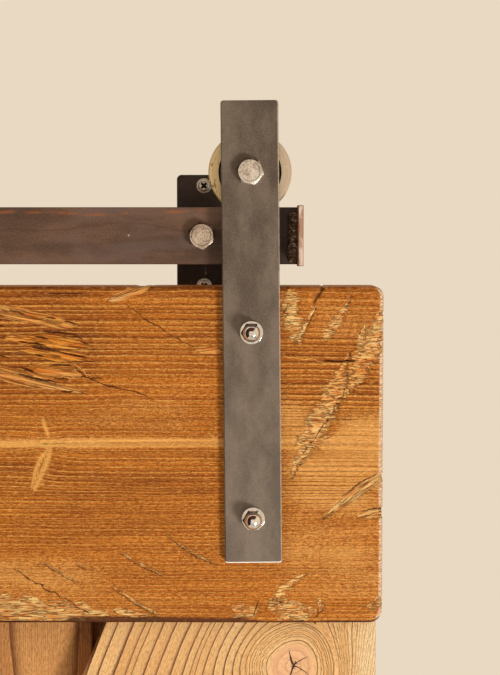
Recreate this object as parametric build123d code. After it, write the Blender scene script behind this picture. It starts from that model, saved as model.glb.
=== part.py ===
from build123d import *
import os
from math import cos, radians, tan

os.makedirs("parts", exist_ok=True)

# A sliding barn door hung from a flat-bar track, in millimetres.
# The wall's face is the plane y = 0, and everything but the screws is in front of it, on the -Y side.
# The middle of the track bar is at x = 0 and z = 0, and +X runs along the track to the right.

# Track bar
TRACK_LENGTH = 2000.0
TRACK_HEIGHT = 40.0
TRACK_THICKNESS = 8.0
TRACK_EDGE = 0.6

# Brackets that hold the bar off the wall
BRACKET_NAMES = ("far_left", "left", "middle", "right", "far_right")
BRACKET_INSET = 67.0
PLATE_WIDTH = 40.0
PLATE_HEIGHT = 90.0
PLATE_THICKNESS = 5.0
PLATE_CORNER = 3.5
TUBE_DIAMETER = 20.0
TUBE_WELD = 4.0

# Wall screws
WALL_SCREW_SPACING = 73.8
WALL_SCREW_DIAMETER = 5.0
WALL_SCREW_NECK = 5.7
WALL_SCREW_DEPTH = 55.0
WALL_SCREW_FLANGE = 11.3
WALL_SCREW_FLANGE_EDGE = 0.5
WALL_SCREW_FLANGE_HEIGHT = 0.9
WALL_SCREW_HEAD = 8.8
WALL_SCREW_HEAD_HEIGHT = 3.2
WALL_SCREW_PLAY = 0.4
WALL_SCREW_FLAT_SHARE = 0.6
WALL_SCREW_BROW = (0.93, 0.8)
RECESS_LENGTH = 5.4
RECESS_WIDTH = 1.3
RECESS_DEPTH = 1.8
RECESS_TURN = 42.0

# End stops, welded on the ends of the bar
STOP_THICKNESS = 4.0
STOP_HEIGHT = 42.0
STOP_REACH = 18.0
STOP_WELD_LEG = 7.0
STOP_WELD_THROAT = 6.0
STOP_WELD_BULGE = 0.58
STOP_WELD_TOP_GAP = 3.0

# Door leaf
DOOR_WIDTH = 900.0
DOOR_HEIGHT = 2200.0
WALL_GAP = 14.0
RAIL_GAP = 15.3
BOARD_THICKNESS = 22.0
BOARD_COUNT = 4
LAST_BOARD_WIDTH = 194.0
BOARD_REVEAL = 12.0
BOARD_EDGE = 1.2
TONGUE_THICKNESS = 8.0
TONGUE_BITE = 8.0
TONGUE_PLAY = 0.4

# Rails across the front of the boards
RAIL_HEIGHT = 238.0
RAIL_THICKNESS = 40.0
RAIL_OVERHANG = 3.0
RAIL_TOP_CORNER = 7.0
RAIL_BOTTOM_CORNER = 9.5
RAIL_EDGE = 3.5

# Diagonal brace, cut to the rails and to the door's sides
BRACE_THICKNESS = 22.0
BRACE_TOP_CUT = 193.0
BRACE_SIDE_CUT = 50.0
BRACE_EDGE = 2.0

# Screws from the back, through the boards
BOARD_SCREW_DIAMETER = 4.5
BOARD_SCREW_HEAD = 9.0
BOARD_SCREW_EDGE = 45.0
BOARD_SCREW_ROW = 62.0
RAIL_SCREW_BITE = 25.0
BRACE_SCREW_BITE = 16.0
BRACE_SCREW_END = 36.0

# Hanger straps
STRAP_WIDTH = 40.0
STRAP_THICKNESS = 6.0
STRAP_CORNER = 2.0
STRAP_EDGE = 0.8
STRAP_ABOVE_AXLE = 49.0
STRAP_TAIL = 31.4
STRAP_LEAN = {"left": 0.0, "right": 0.526}
HANGER_INSET = 90.5
REST_GAP = 13.0

# Door bolts, through boards, rail and strap
FIRST_BOLT_DROP = 31.7
BOLT_SPACING = 130.4
DOOR_BOLT_DIAMETER = 8.0
DOOR_BOLT_HEAD = 13.0
DOOR_BOLT_HEAD_HEIGHT = 5.3
DOOR_WASHER_DIAMETER = 16.4
DOOR_WASHER_THICKNESS = 1.6
DOOR_WASHER_EDGE = 0.4
DOME_NUT_HEX_HEIGHT = 6.5
DOME_NUT_NECK_HEIGHT = 2.2
DOME_NUT_RADIUS = 6.2
DOME_NUT_BORE_DEPTH = 11.0
BOLT_END_PLAY = 1.0

# Wheels
WHEEL_DIAMETER = 58.0
WHEEL_WIDTH = 18.0
WHEEL_RUNNING_GAP = 0.2
WHEEL_STRAP_GAP = 4.0
GROOVE_DEPTH = 5.0
GROOVE_SIDE_PLAY = 1.0
GROOVE_FLANK_ANGLE = 8.0
WHEEL_RIM_CHAMFER = 0.8
RECESS_RADIUS = 22.0
RECESS_DRAFT = 1.0
WHEEL_BACK_WEB = 2.0
WHEEL_SHOULDER = 2.5

# Ball bearing in each wheel
BEARING_BORE = 10.0
BEARING_OUTER = 30.0
BEARING_WIDTH = 9.0
BEARING_SHOULDER = 1.6
BALL_DIAMETER = 4.8
BALL_COUNT = 8
BALL_FIT = 0.03
CAGE_THICKNESS = 1.4
CAGE_WIDTH = 7.0
CAGE_PLAY = 0.15

# Axle and track bolts
AXLE_HEAD = 17.0
AXLE_HEAD_HEIGHT = 6.4
AXLE_NUT_HEIGHT = 8.4
AXLE_WASHER_DIAMETER = 20.0
AXLE_WASHER_THICKNESS = 2.0
AXLE_SPACER_DIAMETER = 15.0
AXLE_END = 1.5
AXLE_HEAD_TURN = -10.5
TRACK_BOLT_DIAMETER = 10.0
TRACK_BOLT_HEAD = 17.0
TRACK_BOLT_HEAD_HEIGHT = 6.4
TRACK_BOLT_BITE = 25.0
TRACK_BOLT_TURN = -22.0
TRACK_BOLT_TURN_STEP = 19.0

HEX_FACE_SHARE = 0.95
HEX_CHAMFER_ANGLE = 30.0
HEAD_RIM = 1.1
HEAD_DISH = 0.4
BOLT_TIP_SHARE = 0.1

# Clearances
METAL_FIT = 0.05
HOLE_PLAY = 0.4

# Places along y, from the door's back to its front
boards_back = -WALL_GAP
boards_front = boards_back - BOARD_THICKNESS
rail_front = boards_front - RAIL_THICKNESS
strap_back = rail_front
strap_front = strap_back - STRAP_THICKNESS

# The track's place follows from the door's, with the wheel between them
wheel_y = strap_back + WHEEL_STRAP_GAP + WHEEL_WIDTH / 2
track_back = wheel_y + TRACK_THICKNESS / 2
track_front = wheel_y - TRACK_THICKNESS / 2
bearing_front = wheel_y - BEARING_WIDTH / 2
bearing_back = wheel_y + BEARING_WIDTH / 2

# Radii in the bearing, where the raceways are a little larger than the balls
axle_radius = BEARING_BORE / 2
pitch_radius = (BEARING_BORE + BEARING_OUTER) / 4
race_radius = BALL_DIAMETER / 2 + BALL_FIT
race_half = (race_radius**2 - BEARING_SHOULDER**2) ** 0.5

# Heights
track_top = TRACK_HEIGHT / 2
groove_radius = WHEEL_DIAMETER / 2 - GROOVE_DEPTH
axle_z = track_top + WHEEL_RUNNING_GAP + groove_radius
rail_top = -TRACK_HEIGHT / 2 - RAIL_GAP
rail_bottom = rail_top - RAIL_HEIGHT
door_bottom = rail_top - DOOR_HEIGHT
low_rail_top = door_bottom + RAIL_HEIGHT

# Places along the track, with the door standing fully to the right
track_end = TRACK_LENGTH / 2
right_axle_x = track_end - REST_GAP - STRAP_WIDTH / 2
door_right = right_axle_x + HANGER_INSET
door_left = door_right - DOOR_WIDTH
left_axle_x = door_left + HANGER_INSET
axle_x = {"left": left_axle_x, "right": right_axle_x}

bracket_reach = track_end - BRACKET_INSET
bracket_step = 2 * bracket_reach / (len(BRACKET_NAMES) - 1)
bracket_x = [i * bracket_step - bracket_reach for i in range(len(BRACKET_NAMES))]


def block(x0, x1, y0, y1, z0, z1):
    """A rectangular block between two corners."""
    return Pos(x0, y0, z0) * Box(x1 - x0, y1 - y0, z1 - z0, align=Align.MIN)


def along_y(x, y, z, shape, towards_wall=False):
    """A shape drawn along +Z, turned to point at the viewer, or at the wall, and put in place."""
    turn = -90 if towards_wall else 90
    return Pos(x, y, z) * Rot(turn, 0, 0) * shape


def rod(radius, length):
    """A round bar along +Z that starts at z = 0."""
    return Cylinder(radius, length, align=(Align.CENTER, Align.CENTER, Align.MIN))


def ring(outer, inner, length):
    """A tube or washer along +Z that starts at z = 0."""
    return rod(outer, length) - rod(inner, length)


def hexagon(across_flats, height, turn=0.0, dish=0.0):
    """A hexagon whose outer corners are turned off to a cone. A forged head is dished inside its rim."""
    corner = across_flats / 2 / cos(radians(30))
    face = HEX_FACE_SHARE * across_flats / 2
    cone = (corner - face) * tan(radians(HEX_CHAMFER_ANGLE))
    rim = face - HEAD_RIM
    crown = [(face, height)]
    if dish:
        crown += [(rim, height), (rim - dish, height - dish)]
    profile = Polyline((0, 0), (corner, 0), (corner, height - cone), *crown, (0, height - dish), (0, 0))
    turned = revolve(Plane.XZ * make_face(profile), Axis.Z)
    flats = extrude(RegularPolygon(across_flats / 2, 6, major_radius=False, rotation=turn), height)
    return flats & turned


def hex_bolt(diameter, head, head_height, length, turn=0.0):
    """A bolt whose head stands above z = 0 and whose shank hangs below it."""
    shank = Pos(0, 0, -length) * rod(diameter / 2, length)
    shank = chamfer(shank.edges().sort_by(Axis.Z)[0], BOLT_TIP_SHARE * diameter)
    return hexagon(head, head_height, turn, HEAD_DISH) + shank


def strap_x(side, z):
    """Where the middle of a leaning strap is at height z."""
    return axle_x[side] + (axle_z - z) * tan(radians(STRAP_LEAN[side]))


def bolt_heights():
    """Heights of the two door bolts of each strap."""
    first = rail_top - FIRST_BOLT_DROP
    return (first, first - BOLT_SPACING)


def door_bolt_places():
    """The x and z of every door bolt."""
    return [(strap_x(side, z), z) for side in axle_x for z in bolt_heights()]


def door_bolt_holes(radius):
    """Rods that cut the door bolts' holes through anything on the door."""
    start = boards_back + DOOR_BOLT_HEAD_HEIGHT
    length = start - strap_front + STRAP_THICKNESS
    return [along_y(x, start, z, rod(radius, length)) for x, z in door_bolt_places()]


def make_track_bar():
    bar = block(-track_end, track_end, track_front, track_back, -track_top, track_top)
    long_edges = bar.edges().filter_by(Axis.X)
    bar = chamfer(long_edges, TRACK_EDGE)
    for x in bracket_x:
        bar -= along_y(x, track_back, 0, rod(TRACK_BOLT_DIAMETER / 2 + HOLE_PLAY, TRACK_THICKNESS))
    return bar


def make_end_stop(side):
    """A plate across the bar's end that reaches forward into the strap's path."""
    inner = side * track_end
    outer = side * (track_end + STOP_THICKNESS)
    low, high = sorted((inner, outer))
    plate = block(low, high, track_front - STOP_REACH, track_back, -STOP_HEIGHT / 2, STOP_HEIGHT / 2)
    front_edges = plate.faces().sort_by(Axis.Y)[0].edges()
    return chamfer(front_edges, TRACK_EDGE)


def make_stop_weld(side):
    """The fillet of weld in the corner between the bar's front face and the stop."""
    corner = (track_end, track_front)
    on_bar = (track_end - STOP_WELD_LEG, track_front)
    on_stop = (track_end, track_front - STOP_WELD_THROAT)
    bulge = (track_end - STOP_WELD_BULGE * STOP_WELD_LEG, track_front - STOP_WELD_BULGE * STOP_WELD_THROAT)
    outline = Line(corner, on_bar) + ThreePointArc(on_bar, bulge, on_stop) + Line(on_stop, corner)
    foot = TRACK_EDGE - track_top
    top = track_top - STOP_WELD_TOP_GAP
    bead = Pos(0, 0, foot) * extrude(make_face(outline), top - foot, dir=(0, 0, 1))
    return bead if side > 0 else mirror(bead, Plane.YZ)


def make_wall_plate(x):
    plate = block(
        x - PLATE_WIDTH / 2,
        x + PLATE_WIDTH / 2,
        -PLATE_THICKNESS,
        0,
        -PLATE_HEIGHT / 2,
        PLATE_HEIGHT / 2,
    )
    plate = fillet(plate.edges().filter_by(Axis.Y), PLATE_CORNER)
    hole = rod(WALL_SCREW_NECK / 2 + WALL_SCREW_PLAY, PLATE_THICKNESS)
    for z in (-WALL_SCREW_SPACING / 2, WALL_SCREW_SPACING / 2):
        plate -= along_y(x, 0, z, hole)
    return plate


def make_wall_tube(x):
    """The threaded tube that carries the bar on the plate."""
    length = -PLATE_THICKNESS - track_back
    bore = TRACK_BOLT_DIAMETER / 2 + METAL_FIT
    return along_y(x, -PLATE_THICKNESS, 0, ring(TUBE_DIAMETER / 2, bore, length))


def make_tube_weld(x):
    """The ring of weld between a tube and its plate."""
    radius = TUBE_DIAMETER / 2
    profile = Polyline((radius, 0), (radius + TUBE_WELD, 0), (radius, TUBE_WELD), (radius, 0))
    bead = revolve(Plane.XZ * make_face(profile), Axis.Z)
    return along_y(x, -PLATE_THICKNESS, 0, bead)


def make_track_bolt(i, x):
    turn = TRACK_BOLT_TURN + TRACK_BOLT_TURN_STEP * (len(BRACKET_NAMES) - 1 - i)
    bolt = hex_bolt(
        TRACK_BOLT_DIAMETER,
        TRACK_BOLT_HEAD,
        TRACK_BOLT_HEAD_HEIGHT,
        TRACK_THICKNESS + TRACK_BOLT_BITE,
        turn,
    )
    return along_y(x, track_front, 0, bolt)


def make_wall_screw(x, z):
    """A pan-head screw with a flange, a cross recess, a neck in the plate and a shank in the wall."""
    flange = WALL_SCREW_FLANGE / 2
    head = WALL_SCREW_HEAD / 2
    neck = WALL_SCREW_NECK / 2
    shank = WALL_SCREW_DIAMETER / 2
    foot = (head, WALL_SCREW_FLANGE_HEIGHT)
    flat = WALL_SCREW_FLAT_SHARE * head
    brow = (WALL_SCREW_BROW[0] * head, WALL_SCREW_BROW[1] * WALL_SCREW_HEAD_HEIGHT)
    length = PLATE_THICKNESS + WALL_SCREW_DEPTH
    outline = Polyline(
        (flat, WALL_SCREW_HEAD_HEIGHT),
        (0, WALL_SCREW_HEAD_HEIGHT),
        (0, -length),
        (shank, WALL_SCREW_DIAMETER - length),
        (shank, -PLATE_THICKNESS),
        (neck, -PLATE_THICKNESS),
        (neck, 0),
        (flange, 0),
        (flange, WALL_SCREW_FLANGE_EDGE),
        foot,
    )
    outline += ThreePointArc(foot, brow, (flat, WALL_SCREW_HEAD_HEIGHT))
    screw = revolve(Plane.XZ * make_face(outline), Axis.Z)
    slot = Box(RECESS_LENGTH, RECESS_WIDTH, 2 * RECESS_DEPTH)
    cross = Rot(0, 0, RECESS_TURN) * (slot + Rot(0, 0, 90) * slot)
    screw -= Pos(0, 0, WALL_SCREW_HEAD_HEIGHT) * cross
    return along_y(x, -PLATE_THICKNESS, z, screw)


def make_rail(top):
    """A thick plank across the boards, with rounded corners and a rounded front edge."""
    rail = block(
        door_left - RAIL_OVERHANG,
        door_right + RAIL_OVERHANG,
        rail_front,
        boards_front,
        top - RAIL_HEIGHT,
        top,
    )
    rail = fillet(rail.edges().filter_by(Axis.Y).sort_by(Axis.Z)[-2:], RAIL_TOP_CORNER)
    rail = fillet(rail.edges().filter_by(Axis.Y).sort_by(Axis.Z)[:2], RAIL_BOTTOM_CORNER)
    rail = fillet(rail.faces().sort_by(Axis.Y)[0].edges(), RAIL_EDGE)
    return rail - rail_screws(METAL_FIT)


def make_top_rail():
    return make_rail(rail_top) - door_bolt_holes(DOOR_BOLT_DIAMETER / 2 + HOLE_PLAY)


def make_brace():
    """The diagonal between the rails, cut square to them and to the door's sides."""
    outline = Polyline(
        (door_right - BRACE_TOP_CUT, rail_bottom),
        (door_right, rail_bottom),
        (door_right, rail_bottom - BRACE_SIDE_CUT),
        (door_left + BRACE_TOP_CUT, low_rail_top),
        (door_left, low_rail_top),
        (door_left, low_rail_top + BRACE_SIDE_CUT),
        (door_right - BRACE_TOP_CUT, rail_bottom),
    )
    face = Plane.XZ.offset(-boards_front) * make_face(outline)
    brace = extrude(face, BRACE_THICKNESS)
    front = brace.faces().sort_by(Axis.Y)[0]
    free = front.edges().filter_by(Axis.X, reverse=True)
    return fillet(free, BRACE_EDGE) - brace_screws(METAL_FIT)


def board_edges():
    """The x of each joint between boards, with the door's two sides."""
    width = (DOOR_WIDTH - LAST_BOARD_WIDTH) / (BOARD_COUNT - 1)
    return [door_left + i * width for i in range(BOARD_COUNT)] + [door_right]


def make_board(i):
    """A vertical board with a groove on its left side and a tongue on its right."""
    edges = board_edges()
    low = door_bottom + RAIL_OVERHANG
    high = rail_top - RAIL_OVERHANG
    middle = boards_back - BOARD_THICKNESS / 2
    last = i == BOARD_COUNT - 1
    right = edges[i + 1] - (0 if last else BOARD_REVEAL)
    board = block(edges[i], right, boards_front, boards_back, low, high)
    board = chamfer(board.faces().sort_by(Axis.Y)[0].edges().filter_by(Axis.Z), BOARD_EDGE)
    if not last:
        half = TONGUE_THICKNESS / 2
        board += block(right, edges[i + 1] + TONGUE_BITE, middle - half, middle + half, low, high)
    if i > 0:
        half = TONGUE_THICKNESS / 2 + TONGUE_PLAY
        depth = TONGUE_BITE + TONGUE_PLAY
        board -= block(edges[i], edges[i] + depth, middle - half, middle + half, low, high)
    board -= door_bolt_holes(DOOR_BOLT_DIAMETER / 2 + HOLE_PLAY)
    return board - rail_screws(METAL_FIT) - brace_screws(METAL_FIT)


def board_screw(x, z, length, play=0.0):
    """A countersunk wood screw driven from the back until its head is flush, or its hole with some play."""
    head = BOARD_SCREW_HEAD / 2 + play
    shank = BOARD_SCREW_DIAMETER / 2 + play
    end = length + play
    profile = Polyline((0, 0), (head, 0), (shank, shank - head), (shank, -end), (0, -end), (0, 0))
    screw = revolve(Plane.XZ * make_face(profile), Axis.Z)
    return along_y(x, boards_back, z, screw, towards_wall=True)


def rail_screw_places():
    """Two screws in each board at each rail."""
    edges = board_edges()
    places = []
    for i in range(BOARD_COUNT):
        for x in (edges[i] + BOARD_SCREW_EDGE, edges[i + 1] - BOARD_SCREW_EDGE):
            for middle in ((rail_top + rail_bottom) / 2, (low_rail_top + door_bottom) / 2):
                side = 1 if x < (edges[i] + edges[i + 1]) / 2 else -1
                places.append((x, middle + side * BOARD_SCREW_ROW))
    return places


def brace_screw_places():
    """Two screws in each board along the brace's middle line, held back from its two ends."""
    top_x = door_right - BRACE_TOP_CUT / 2
    bottom_x = door_left + BRACE_TOP_CUT / 2
    edges = board_edges()
    places = []
    for i in range(BOARD_COUNT):
        for x in (edges[i] + BOARD_SCREW_EDGE, edges[i + 1] - BOARD_SCREW_EDGE):
            share = (x - bottom_x) / (top_x - bottom_x)
            line = low_rail_top + share * (rail_bottom - low_rail_top)
            z = min(max(line, low_rail_top + BRACE_SCREW_END), rail_bottom - BRACE_SCREW_END)
            places.append((x, z))
    return places


def rail_screws(play=0.0):
    length = BOARD_THICKNESS + RAIL_SCREW_BITE
    return [board_screw(x, z, length, play) for x, z in rail_screw_places()]


def brace_screws(play=0.0):
    length = BOARD_THICKNESS + BRACE_SCREW_BITE
    return [board_screw(x, z, length, play) for x, z in brace_screw_places()]


def make_strap(side):
    """A flat bar that hangs from the axle and leans a little, bolted to the rail's face."""
    lean = radians(STRAP_LEAN[side])
    low = (axle_z - bolt_heights()[-1]) / cos(lean) + STRAP_TAIL
    strap = block(-STRAP_WIDTH / 2, STRAP_WIDTH / 2, strap_front, strap_back, -low, STRAP_ABOVE_AXLE)
    strap = fillet(strap.edges().filter_by(Axis.Y), STRAP_CORNER)
    strap = chamfer(strap.faces().sort_by(Axis.Y)[0].edges(), STRAP_EDGE)
    strap = Pos(axle_x[side], 0, axle_z) * Rot(0, -STRAP_LEAN[side], 0) * strap
    strap -= along_y(axle_x[side], strap_back, axle_z, rod(BEARING_BORE / 2 + HOLE_PLAY, STRAP_THICKNESS))
    return strap - door_bolt_holes(DOOR_BOLT_DIAMETER / 2 + HOLE_PLAY)


def make_door_bolt(x, z):
    """A hexagon bolt from the back, which ends inside the dome nut."""
    seat = boards_back + DOOR_WASHER_THICKNESS
    end = strap_front - DOOR_WASHER_THICKNESS - DOME_NUT_BORE_DEPTH + BOLT_END_PLAY
    bolt = hex_bolt(DOOR_BOLT_DIAMETER, DOOR_BOLT_HEAD, DOOR_BOLT_HEAD_HEIGHT, seat - end)
    return along_y(x, seat, z, bolt, towards_wall=True)


def make_door_washer(x, y, z):
    """A stamped washer, whose outer edges are a little round."""
    bore = DOOR_BOLT_DIAMETER / 2 + METAL_FIT
    washer = rod(DOOR_WASHER_DIAMETER / 2, DOOR_WASHER_THICKNESS)
    washer = fillet(washer.edges().filter_by(GeomType.CIRCLE), DOOR_WASHER_EDGE)
    return along_y(x, y, z, washer - rod(bore, DOOR_WASHER_THICKNESS))


def make_dome_nut(x, z):
    """A closed nut: a hexagon, a short neck and a round dome over a blind bore."""
    neck = DOME_NUT_HEX_HEIGHT + DOME_NUT_NECK_HEIGHT
    radius = DOME_NUT_RADIUS
    side = radius * cos(radians(45))
    profile = Polyline((0, neck + radius), (0, 0), (radius, 0), (radius, neck))
    profile += ThreePointArc((radius, neck), (side, neck + side), (0, neck + radius))
    dome = revolve(Plane.XZ * make_face(profile), Axis.Z)
    nut = hexagon(DOOR_BOLT_HEAD, DOME_NUT_HEX_HEIGHT) + dome
    nut -= rod(DOOR_BOLT_DIAMETER / 2 + METAL_FIT, DOME_NUT_BORE_DEPTH)
    return along_y(x, strap_front - DOOR_WASHER_THICKNESS, z, nut)


def around_axle(side, outline):
    """A turned piece: an outline of radius and distance from the wheel's middle, spun about the axle."""
    body = revolve(make_face(outline), Axis.Y)
    return Pos(axle_x[side], wheel_y, axle_z) * body


def make_wheel(side):
    """A grooved wheel: two flanges, a web with a seat for the bearing, and a recess on each face."""
    rim = WHEEL_DIAMETER / 2
    half = WHEEL_WIDTH / 2
    groove = TRACK_THICKNESS / 2 + GROOVE_SIDE_PLAY
    mouth = groove + GROOVE_DEPTH * tan(radians(GROOVE_FLANK_ANGLE))
    seat = BEARING_OUTER / 2
    face = BEARING_WIDTH / 2
    back = face + WHEEL_BACK_WEB
    inner = RECESS_RADIUS - RECESS_DRAFT
    outline = Polyline(
        (seat, -face),
        (inner, -face),
        (RECESS_RADIUS, -half),
        (rim - WHEEL_RIM_CHAMFER, -half),
        (rim, -half + WHEEL_RIM_CHAMFER),
        (rim, -mouth),
        (groove_radius, -groove),
        (groove_radius, groove),
        (rim, mouth),
        (rim, half - WHEEL_RIM_CHAMFER),
        (rim - WHEEL_RIM_CHAMFER, half),
        (RECESS_RADIUS, half),
        (inner, back),
        (seat - WHEEL_SHOULDER, back),
        (seat - WHEEL_SHOULDER, face),
        (seat, face),
        (seat, -face),
    )
    return around_axle(side, outline)


def bearing_ring(side, skin, shoulder, deepest):
    """A bearing ring with a round raceway between two shoulders."""
    face = BEARING_WIDTH / 2
    outline = Polyline(
        (shoulder, -race_half),
        (shoulder, -face),
        (skin, -face),
        (skin, face),
        (shoulder, face),
        (shoulder, race_half),
    )
    outline += ThreePointArc((shoulder, race_half), (deepest, 0), (shoulder, -race_half))
    return around_axle(side, outline)


def make_inner_ring(side):
    return bearing_ring(
        side,
        BEARING_BORE / 2 + METAL_FIT,
        pitch_radius - BEARING_SHOULDER,
        pitch_radius - race_radius,
    )


def make_outer_ring(side):
    return bearing_ring(
        side,
        BEARING_OUTER / 2,
        pitch_radius + BEARING_SHOULDER,
        pitch_radius + race_radius,
    )


def ball_turns(side):
    """The wheel's middle on its axle, turned to point at each ball."""
    middle = Pos(axle_x[side], wheel_y, axle_z)
    return [middle * Rot(0, 360 * (i + 0.5) / BALL_COUNT, 0) for i in range(BALL_COUNT)]


def make_balls(side):
    return [turn * Pos(0, 0, pitch_radius) * Sphere(BALL_DIAMETER / 2) for turn in ball_turns(side)]


def make_cage(side):
    """The ring that keeps the balls apart, with a round pocket for each."""
    half = CAGE_THICKNESS / 2
    wide = CAGE_WIDTH / 2
    corners = [(pitch_radius - half, -wide), (pitch_radius + half, -wide)]
    corners += [(pitch_radius + half, wide), (pitch_radius - half, wide), corners[0]]
    cage = around_axle(side, Polyline(*corners))
    pocket = rod(BALL_DIAMETER / 2 + CAGE_PLAY, BEARING_OUTER / 2)
    for turn in ball_turns(side):
        cage -= turn * pocket
    return cage


def make_axle_spacer(side):
    """The tube between the strap and the bearing's inner ring."""
    spacer = ring(AXLE_SPACER_DIAMETER / 2, axle_radius + METAL_FIT, bearing_front - strap_back)
    return along_y(axle_x[side], bearing_front, axle_z, spacer)


def make_axle_bolt(side):
    nut_end = bearing_back + AXLE_WASHER_THICKNESS + AXLE_NUT_HEIGHT
    length = nut_end + AXLE_END - strap_front
    turn = AXLE_HEAD_TURN if side == "right" else -AXLE_HEAD_TURN
    bolt = hex_bolt(BEARING_BORE, AXLE_HEAD, AXLE_HEAD_HEIGHT, length, turn)
    return along_y(axle_x[side], strap_front, axle_z, bolt)


def make_axle_washer(side):
    washer = ring(AXLE_WASHER_DIAMETER / 2, axle_radius + METAL_FIT, AXLE_WASHER_THICKNESS)
    return along_y(axle_x[side], bearing_back, axle_z, washer, towards_wall=True)


def make_axle_nut(side):
    nut = hexagon(AXLE_HEAD, AXLE_NUT_HEIGHT) - rod(axle_radius + METAL_FIT, AXLE_NUT_HEIGHT)
    return along_y(axle_x[side], bearing_back + AXLE_WASHER_THICKNESS, axle_z, nut, towards_wall=True)


def write(name, *shapes):
    """Save one sub-part, which may be a group of separate solids."""
    solids = [solid for shape in shapes for solid in shape.solids()]
    whole = Compound(children=solids) if len(solids) > 1 else solids[0]
    whole.label = name
    export_step(whole, f"parts/{name}.step")


def build_track():
    write("track_bar", make_track_bar())
    for side, name in ((-1, "left"), (1, "right")):
        write(f"end_stop_{name}", make_end_stop(side))
        write(f"stop_weld_{name}", make_stop_weld(side))
    for name, x in zip(BRACKET_NAMES, bracket_x):
        write(f"wall_plate_{name}", make_wall_plate(x))
        write(f"wall_tube_{name}", make_wall_tube(x))
    write("tube_welds", *[make_tube_weld(x) for x in bracket_x])
    write("track_bolts", *[make_track_bolt(i, x) for i, x in enumerate(bracket_x)])
    heights = (-WALL_SCREW_SPACING / 2, WALL_SCREW_SPACING / 2)
    write("wall_screws", *[make_wall_screw(x, z) for x in bracket_x for z in heights])


def build_door():
    write("top_rail", make_top_rail())
    write("bottom_rail", make_rail(low_rail_top))
    write("brace", make_brace())
    for i in range(BOARD_COUNT):
        write(f"board_{i + 1}", make_board(i))
    write("board_screws", *rail_screws(), *brace_screws())
    places = door_bolt_places()
    write("door_bolts", *[make_door_bolt(x, z) for x, z in places])
    write("back_washers", *[make_door_washer(x, boards_back + DOOR_WASHER_THICKNESS, z) for x, z in places])
    write("front_washers", *[make_door_washer(x, strap_front, z) for x, z in places])
    write("dome_nuts", *[make_dome_nut(x, z) for x, z in places])


def build_hangers():
    for side in axle_x:
        write(f"strap_{side}", make_strap(side))
        write(f"wheel_{side}", make_wheel(side))
        write(f"bearing_outer_ring_{side}", make_outer_ring(side))
        write(f"bearing_inner_ring_{side}", make_inner_ring(side))
        write(f"bearing_balls_{side}", *make_balls(side))
        write(f"bearing_cage_{side}", make_cage(side))
    write("axle_spacers", *[make_axle_spacer(side) for side in axle_x])
    write("axle_bolts", *[make_axle_bolt(side) for side in axle_x])
    write("axle_washers", *[make_axle_washer(side) for side in axle_x])
    write("axle_nuts", *[make_axle_nut(side) for side in axle_x])


build_track()
build_door()
build_hangers()
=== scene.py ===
# %% [markdown]
# # A sliding barn door on a flat-bar track
#
# The door is a leaf of brushed planks that hangs from a steel bar on two grooved wheels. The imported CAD
# model already has every solid in its place, so this lesson does what is left: it dresses the steel, makes
# the planks look split, brushed and stained, and lights the whole. Everything is in metres, in the CAD
# model's own frame: +X runs along the track, +Z is up, and the wall is the plane y = 0 behind the door.

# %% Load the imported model
import math

import bmesh
import bpy
import numpy as np
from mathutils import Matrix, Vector


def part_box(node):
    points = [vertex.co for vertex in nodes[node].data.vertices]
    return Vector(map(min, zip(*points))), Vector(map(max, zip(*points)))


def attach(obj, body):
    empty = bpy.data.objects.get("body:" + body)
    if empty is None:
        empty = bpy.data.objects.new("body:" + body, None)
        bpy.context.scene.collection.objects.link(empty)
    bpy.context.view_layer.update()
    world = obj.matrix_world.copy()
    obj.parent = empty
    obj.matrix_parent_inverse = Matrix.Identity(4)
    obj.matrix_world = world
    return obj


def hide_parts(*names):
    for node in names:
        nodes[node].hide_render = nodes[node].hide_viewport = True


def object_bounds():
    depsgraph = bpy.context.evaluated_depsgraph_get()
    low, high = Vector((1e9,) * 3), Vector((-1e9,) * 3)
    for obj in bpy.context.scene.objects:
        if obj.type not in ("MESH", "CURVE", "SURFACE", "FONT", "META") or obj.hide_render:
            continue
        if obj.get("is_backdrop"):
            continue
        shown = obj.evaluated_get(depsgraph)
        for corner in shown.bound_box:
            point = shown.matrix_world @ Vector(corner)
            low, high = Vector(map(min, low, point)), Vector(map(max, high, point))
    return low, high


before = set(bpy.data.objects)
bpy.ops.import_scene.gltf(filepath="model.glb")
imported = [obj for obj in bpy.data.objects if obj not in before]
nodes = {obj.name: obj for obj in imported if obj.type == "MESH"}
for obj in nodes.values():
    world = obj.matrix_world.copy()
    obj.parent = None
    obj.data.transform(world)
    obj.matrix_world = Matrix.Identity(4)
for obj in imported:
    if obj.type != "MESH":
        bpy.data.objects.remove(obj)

cad_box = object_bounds()
scene = bpy.context.scene
MM = 0.001


def new_object(name, data):
    """An object for a mesh, lamp or camera, already in the scene."""
    made = bpy.data.objects.new(name, data)
    scene.collection.objects.link(made)
    return made


print("nodes:", len(nodes), "CAD box:", [[round(v, 3) for v in corner] for corner in cad_box])

# %% [markdown]
# ## The camera
#
# A photograph's camera can be found again from things whose real size is known. Here the hanger strap is
# 40 mm wide and the rail 238 mm high, which gives the scale, and the wheel hub seen past the strap gives the
# side from which the camera looks. It stands a little over a metre in front of the right-hand strap and
# tips down by a few degrees, so that the undersides of the rails stay hidden.

# %% Camera
FOCAL_PIXELS = 1587.0
IMAGE_HEIGHT = 675.0
SENSOR = 36.0
CAMERA_PLACE = Vector((0.967, -1.182, -0.0013))
CAMERA_TILT = math.radians(3.6)

camera_data = bpy.data.cameras.new("camera")
camera_data.sensor_width = SENSOR
camera_data.lens = FOCAL_PIXELS / IMAGE_HEIGHT * SENSOR
camera = new_object("camera", camera_data)
camera.location = CAMERA_PLACE
camera.rotation_euler = (math.pi / 2 - CAMERA_TILT, 0, 0)
scene.camera = camera
print("lens in mm:", round(camera_data.lens, 1))

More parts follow.
